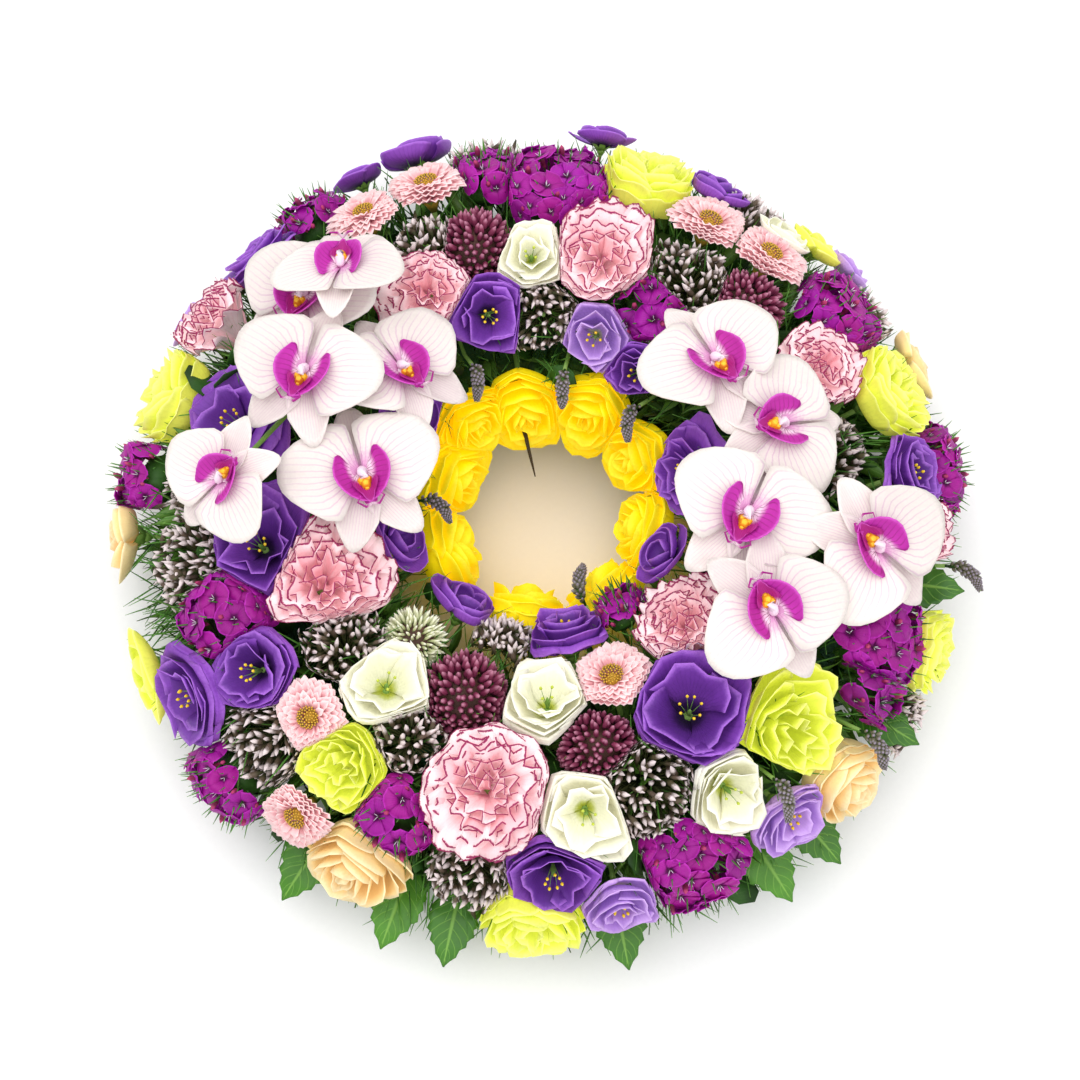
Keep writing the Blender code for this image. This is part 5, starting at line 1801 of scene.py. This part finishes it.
# Kinds that grow from the side of another stem, and the most degrees that a head is rolled by.
SHOOTS = (Kind.BUD, Kind.SPIRE, Kind.LEAF)
FULL_ROLL = 72.0
FORMS: dict[Kind, tuple[type[Head], str]] = {
    Kind.ROSE: (Rose, ""),
    Kind.LISIANTHUS: (Lisianthus, ""),
    Kind.CUP: (CupLisianthus, ""),
    Kind.BUD: (Bud, ""),
    Kind.CARNATION: (Carnation, "carnation_petal"),
    Kind.DAISY: (Daisy, "daisy_petal"),
    Kind.GLOBE: (Globe, "allium_floret"),
    Kind.CLUSTER: (SweetWilliam, "sweet_william_petal"),
    Kind.SPIKES: (Trachelium, "trachelium_bud"),
    Kind.SPIRE: (Veronica, "veronica_bud"),
    Kind.LEAF: (Leaf, "leaf_green"),
}
FILLER_PIECES = {
    Kind.BUD: "flower_buds",
    Kind.CLUSTER: "sweet_william",
    Kind.SPIKES: "trachelium",
    Kind.SPIRE: "veronica",
    Kind.LEAF: "leaves",
}
SLOT_OF_NODE = {
    "carnation": "carnation_petals",
    "chrysanthemum": "chrysanthemum_petals",
    "allium": "allium_florets",
    "scabiosa": "scabiosa_florets",
}


@dataclass
class Planting:
    """Every bloom of the plan on its stem, pressed by its neighbours.

    A side shoot leaves its carrier at fork_height and joins its own axis at shoot_start, both
    counted from the core circle, where the gap between them is short enough.
    """

    blanks: Blanks
    palette: Palette
    shoot_start: float = 58.0
    fork_height: float = 48.0
    neck: float = 8.0
    longest_shoot: float = 60.0
    longest_fork: float = 95.0
    stem_radius: float = 1.7
    sprig_radius: float = 1.3

    def __post_init__(self) -> None:
        """Bound every bloom, the orchid stems among them."""
        stems = [
            Bloom(f"{name}_stem", Kind.STEM, name, clock, lean, SPRAY_CELL)
            for name, (clock, lean) in SPRAY_ROOTS.items()
        ]
        self.cells = Cells(PLAN + stems)
        self.carriers = {b.name: self.carrier(b) for b in PLAN}

    def carrier(self, bloom: Bloom) -> Bloom | None:
        """The bloom whose stem carries this one, if it is a side shoot."""
        if bloom.node == FILLER:
            if bloom.kind not in SHOOTS:
                return None
            options = [b for b in PLAN if b.node == FILLER and b.kind not in SHOOTS]
            options = [b for b in options if sector_of(b.clock) == sector_of(bloom.clock)]
        else:
            options = [b for b in PLAN if b.node == bloom.node][:1]
        start = axis_point(bloom, self.shoot_start)
        options = [b for b in options if b is not bloom]
        if not options:
            return None
        gap = {b.name: (axis_point(b, self.fork_height) - start).length for b in options}
        nearest = min(options, key=lambda b: gap[b.name])
        longest = self.longest_shoot if bloom.node == FILLER else self.longest_fork
        return nearest if gap[nearest.name] < longest else None

    def head_of(self, bloom: Bloom) -> Head:
        """The head that a bloom of the plan stands for."""
        colour = COLOUR_OF_LETTER.get(bloom.name[0], "yellow")
        if bloom.name in LAVENDER:
            colour = "lavender"
        form, finish = FORMS[bloom.kind]
        if colour == "lime" and form is Rose:
            form = CrinkledRose
        finish = finish or f"{colour}_petal"
        if bloom.name == "S1":
            return Globe(bloom.width, "scabiosa_thread", count=230, floret=(0.045, 0.42))
        if colour == "white" and issubclass(form, Lisianthus):
            return form(bloom.width, finish, knob="knob_green", stamens=4)
        return form(bloom.width, finish)

    def grown(self, bloom: Bloom) -> Model:
        """A bloom in its place on the wreath.

        Args:
            bloom: of the plan.

        Returns:
            Its head and stem.
        """
        rng = random.Random(f"{SEED}{bloom.name}")
        head = self.head_of(bloom)
        roll = rng.uniform(0, FULL_ROLL)
        arm = outward(bloom.clock, bloom.lean)
        face = shell_point(bloom.clock, bloom.lean, bloom.rise)
        place = Matrix.Translation(face) @ head.stance(arm, roll).to_4x4()
        model = self.cells.press(bloom, head.build(self.blanks, rng).placed(place))
        top = face - arm.normalized() * head.stem_gap()
        carrier = self.carriers[bloom.name]
        if carrier:
            low = axis_point(carrier, self.fork_height)
            bend = axis_point(bloom, self.shoot_start + self.neck)
        else:
            low = axis_point(bloom, STEM_ROOT)
            bend = low.lerp(top, 0.6)
        path = [low, low.lerp(bend, 0.5), bend, top]
        radius = self.sprig_radius if bloom.node == FILLER else self.stem_radius
        stem = stalk(self.blanks.tube, path, [radius] * 4).finished("stem_green")
        return joined([model, stem])

    def pieces(self) -> None:
        """One piece for each bloom node, and one for each kind of filler in a sector."""
        nodes: dict[str, list[Bloom]] = {}
        for bloom in PLAN:
            name = bloom.node
            if name == FILLER:
                name = f"{FILLER_PIECES[bloom.kind]}_{sector_of(bloom.clock)}"
            nodes.setdefault(name, []).append(bloom)
        for name, blooms in nodes.items():
            model = joined([self.grown(b) for b in blooms])
            if blooms[0].node == FILLER:
                node, slot = f"filler_spray_{sector_of(blooms[0].clock)}", "filler_greens"
            else:
                first = name.split("_")[0].rstrip("s")
                flower = "lisianthus" if "lisianthus" in name else "rose"
                node, slot = name, SLOT_OF_NODE.get(first, f"{first}_{flower}_petals")
            self.palette.piece(name, model, [node], slot)


@dataclass(frozen=True)
class OrchidSpray:
    """Orchids on one branching stem that dives into the foam."""

    name: str
    stem_rise: float = 6.0
    pedicel_gap: float = 1.5
    pedicel_rise: float = 7.5
    stem_radii: tuple[float, float] = (1.9, 2.1)
    pedicel_radii: tuple[float, ...] = (1.9, 1.6, 1.4, 1.2)

    def build(self, blanks: Blanks) -> Model:
        """The whole spray.

        Args:
            blanks: the repeated shapes.

        Returns:
            Its flowers and stems.
        """
        rng = random.Random(f"{SEED}{self.name}")
        clock, lean = SPRAY_ROOTS[self.name]
        arm = outward(clock, lean)
        fork = shell_point(clock, lean, self.stem_rise)
        root = core_point(clock) + arm.normalized() * STEM_ROOT
        low, high = self.stem_radii
        path = [root, root.lerp(fork, 0.35), root.lerp(fork, 0.7), fork]
        parts = [stalk(blanks.tube, path, [low, low, high, high]).finished("stem_green")]
        for orchid in ORCHID_SPRAYS[self.name]:
            centre = shell_point(orchid.clock, orchid.lean, orchid.rise)
            view = Matrix.Rotation(math.radians(orchid.tip_x), 3, "Y") @ Vector((0, 0, 1))
            view = Matrix.Rotation(math.radians(-orchid.tip_y), 3, "X") @ view
            turn = facing(view, orchid.roll)
            flower = OrchidFlower(orchid.width).build(blanks, rng)
            parts.append(flower.placed(Matrix.Translation(centre) @ turn.to_4x4()))
            back = centre - turn.col[2] * self.pedicel_gap
            middle_clock, middle_lean = (orchid.clock + clock) / 2, (orchid.lean + lean) / 2
            middle = shell_point(middle_clock, middle_lean, self.pedicel_rise)
            bent = [fork, fork.lerp(middle, 0.6), middle.lerp(back, 0.3), back]
            pedicel = stalk(blanks.tube, bent, list(self.pedicel_radii))
            parts.append(pedicel.finished("stem_green"))
        return joined(parts)


@dataclass(frozen=True)
class Tuft:
    """One kind of greenery; its width is a share of its length, its tips shares of the shell."""

    count: int
    length: tuple[float, float]
    width: float
    tips: tuple[float, float]
    spread: float
    finish: str


TUFTS = {
    "greenery_under": Tuft(900, (26.0, 42.0), 0.30, (0.52, 0.74), 1.1, "dark_green"),
    "greenery_lances": Tuft(1000, (28.0, 48.0), 0.12, (0.74, 0.95), 0.5, "lance_green"),
    "greenery_needles": Tuft(3200, (20.0, 36.0), 0.045, (0.82, 1.0), 0.6, "needle_green"),
}


@dataclass(frozen=True)
class Greenery:
    """Leaves and needles between the flowers, out of the foam to just inside the shell.

    Beyond hole_lean they are shortened to hole_share. One whose tip would end nearer to a
    head's face than clear times the head's width is left out.
    """

    low_lean: float = -74.0
    high_lean: float = 106.0
    outer: float = 0.75
    hole_lean: float = -50.0
    hole_share: float = 0.6
    floor: float = 3.0
    root_floor: float = 5.0
    clear: float = 0.38
    round_below: float = 0.06

    def hidden(self) -> tuple[Array, Array]:
        """Middles and radii of the heads that hide what ends inside them."""
        heads = [b for b in PLAN if b.kind not in (Kind.LEAF, Kind.SPIRE, Kind.SPIKES)]
        middles = tuples([shell_point(b.clock, b.lean, b.rise) for b in heads])
        return middles, np.array([self.clear * b.width for b in heads])

    def build(self, blanks: Blanks, name: str) -> Model:
        """Blades of one kind, all round the ring.

        Args:
            blanks: the repeated shapes.
            name: which tuft.

        Returns:
            The blades.
        """
        tuft = TUFTS[name]
        rng = random.Random(f"{SEED}{name}")
        form = BladePetal(
            1.0, tuft.width, (0.0, 0.55), root=0.35, widest=0.45, taper=0.85, point=1.2
        )
        blade = petal(blanks.needle, form, 0.02)
        if tuft.width < self.round_below:
            blade = blanks.thread.sized((tuft.width / 2, tuft.width / 2, 1.0))
        middles, radii = self.hidden()
        origins, ways, lengths = [], [], []
        for k in range(tuft.count):
            clock = 360.0 * (k * GOLDEN_SHARE % 1.0)
            lean = self.low_lean + (self.high_lean - self.low_lean) * rng.random() ** self.outer
            arm = outward(clock, lean)
            jitter = Vector([rng.uniform(-1, 1) for _ in range(3)]) * tuft.spread
            aim = (arm.normalized() + jitter).normalized()
            size = rng.uniform(*tuft.length) * (1.0 if lean > self.hole_lean else self.hole_share)
            tip = core_point(clock) + arm * rng.uniform(*tuft.tips)
            begin = tip - aim * size
            begin.z = max(begin.z, self.root_floor)
            aim.z = max(aim.z, (self.floor - begin.z) / size)
            apart = np.linalg.norm(middles - np.array(begin + aim * size), axis=1)
            if (apart >= radii).all():
                origins.append(begin)
                ways.append(aim)
                lengths.append(size)
        sizes = np.array(lengths)[:, None]
        rolls, marks = draws(rng, len(origins), 0, 6.28), tinted(rng, len(origins))
        return blade.strewn(tuples(ways), tuples(origins), sizes, tuft.finish, rolls, marks)


@dataclass(frozen=True)
class Studio:
    """Floor, soft lights and the camera at the photograph's angle; lengths in metres."""

    palette: Palette
    target: tuple[float, float, float] = (0.0, -0.012, 0.06)
    distance: float = 1.25
    elevation: float = 75.0
    lens: float = 66.7
    floor_size: float = 6.0
    world_strength: float = 0.9

    def build(self) -> None:
        """Set everything that isn't the wreath."""
        self.floor()
        self.light("key", (-0.5, 0.5, 1.9), 2.2, 22.0)
        self.light("fill", (0.9, -0.9, 1.5), 2.2, 11.0)
        world = bpy.data.worlds.new("studio")
        world.use_nodes = True
        background = world.node_tree.nodes["Background"].inputs
        background["Color"].default_value = (1.0, 1.0, 1.0, 1.0)
        background["Strength"].default_value = self.world_strength
        bpy.context.scene.world = world
        bpy.context.scene.view_settings.view_transform = "Standard"
        self.camera()

    def floor(self) -> None:
        """The pale floor, cut into a grid."""
        bpy.ops.object.select_all(action="DESELECT")
        bpy.ops.mesh.primitive_grid_add(x_subdivisions=4, y_subdivisions=4, size=self.floor_size)
        item = bpy.context.object
        item.name = "floor"
        item.data.materials.append(self.palette.material("floor", FLOOR_FINISH))

    def light(self, name: str, place: tuple[float, float, float], size: float, power: float) -> None:
        """An area light that looks at the wreath.

        Args:
            name: of the light.
            place: where it stands.
            size: of its square.
            power: in watts.
        """
        lamp = bpy.data.lights.new(name, "AREA")
        lamp.size, lamp.energy = size, power
        self.aimed(bpy.data.objects.new(name, lamp), Vector(place))

    def camera(self) -> None:
        """The camera, looking down from the front."""
        tip = math.radians(self.elevation)
        data = bpy.data.cameras.new("camera")
        data.lens, data.sensor_width = self.lens, 36.0
        item = bpy.data.objects.new("camera", data)
        away = Vector((0, -math.cos(tip), math.sin(tip)))
        self.aimed(item, Vector(self.target) + self.distance * away)
        bpy.context.scene.camera = item

    def aimed(self, item: bpy.types.Object, place: Vector) -> None:
        """Stand an object at a place, looking at the wreath."""
        item.location = place
        item.rotation_euler = (Vector(self.target) - place).to_track_quat("-Z", "Y").to_euler()
        bpy.context.scene.collection.objects.link(item)


def twig(blanks: Blanks) -> Model:
    """The dark tapered stem tip that reaches from the back roses into the hole."""
    points = [Vector(p) for p in ((-13, 70, 64), (-9, 54, 66), (-6, 41, 64), (-3, 30, 58))]
    return stalk(blanks.tube, points, [1.7, 1.4, 1.0, 0.4]).finished("twig")


def dress_solid(node: str, material: bpy.types.Material) -> None:
    """Give a carried-over solid its finish.

    Args:
        node: its name.
        material: for all of its slots.
    """
    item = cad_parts[node]
    for slot in item.material_slots:
        slot.material = material
    LOG.info("%s: dressed with %s", node, material.name)


def main() -> None:
    """Build the wreath, piece by piece, then the studio."""
    logging.basicConfig(level=logging.INFO, format="%(name)s %(message)s")
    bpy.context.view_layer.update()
    palette = Palette()
    blanks = Blanks()
    Studio(palette).build()
    dress_solid("foam_ring", palette.material("foam", FOAM_FINISH))
    dress_solid("tray", palette.material("tray", TRAY_FINISH))
    for name in ORCHID_SPRAYS:
        palette.piece(name, OrchidSpray(name).build(blanks), [name], "orchid_petals")
    Planting(blanks, palette).pieces()
    greenery = Greenery()
    for name in TUFTS:
        palette.piece(name, greenery.build(blanks, name), [], "filler_greens")
    palette.piece("hole_twig", twig(blanks), [], "filler_greens")


if __name__ == "__main__":
    main()
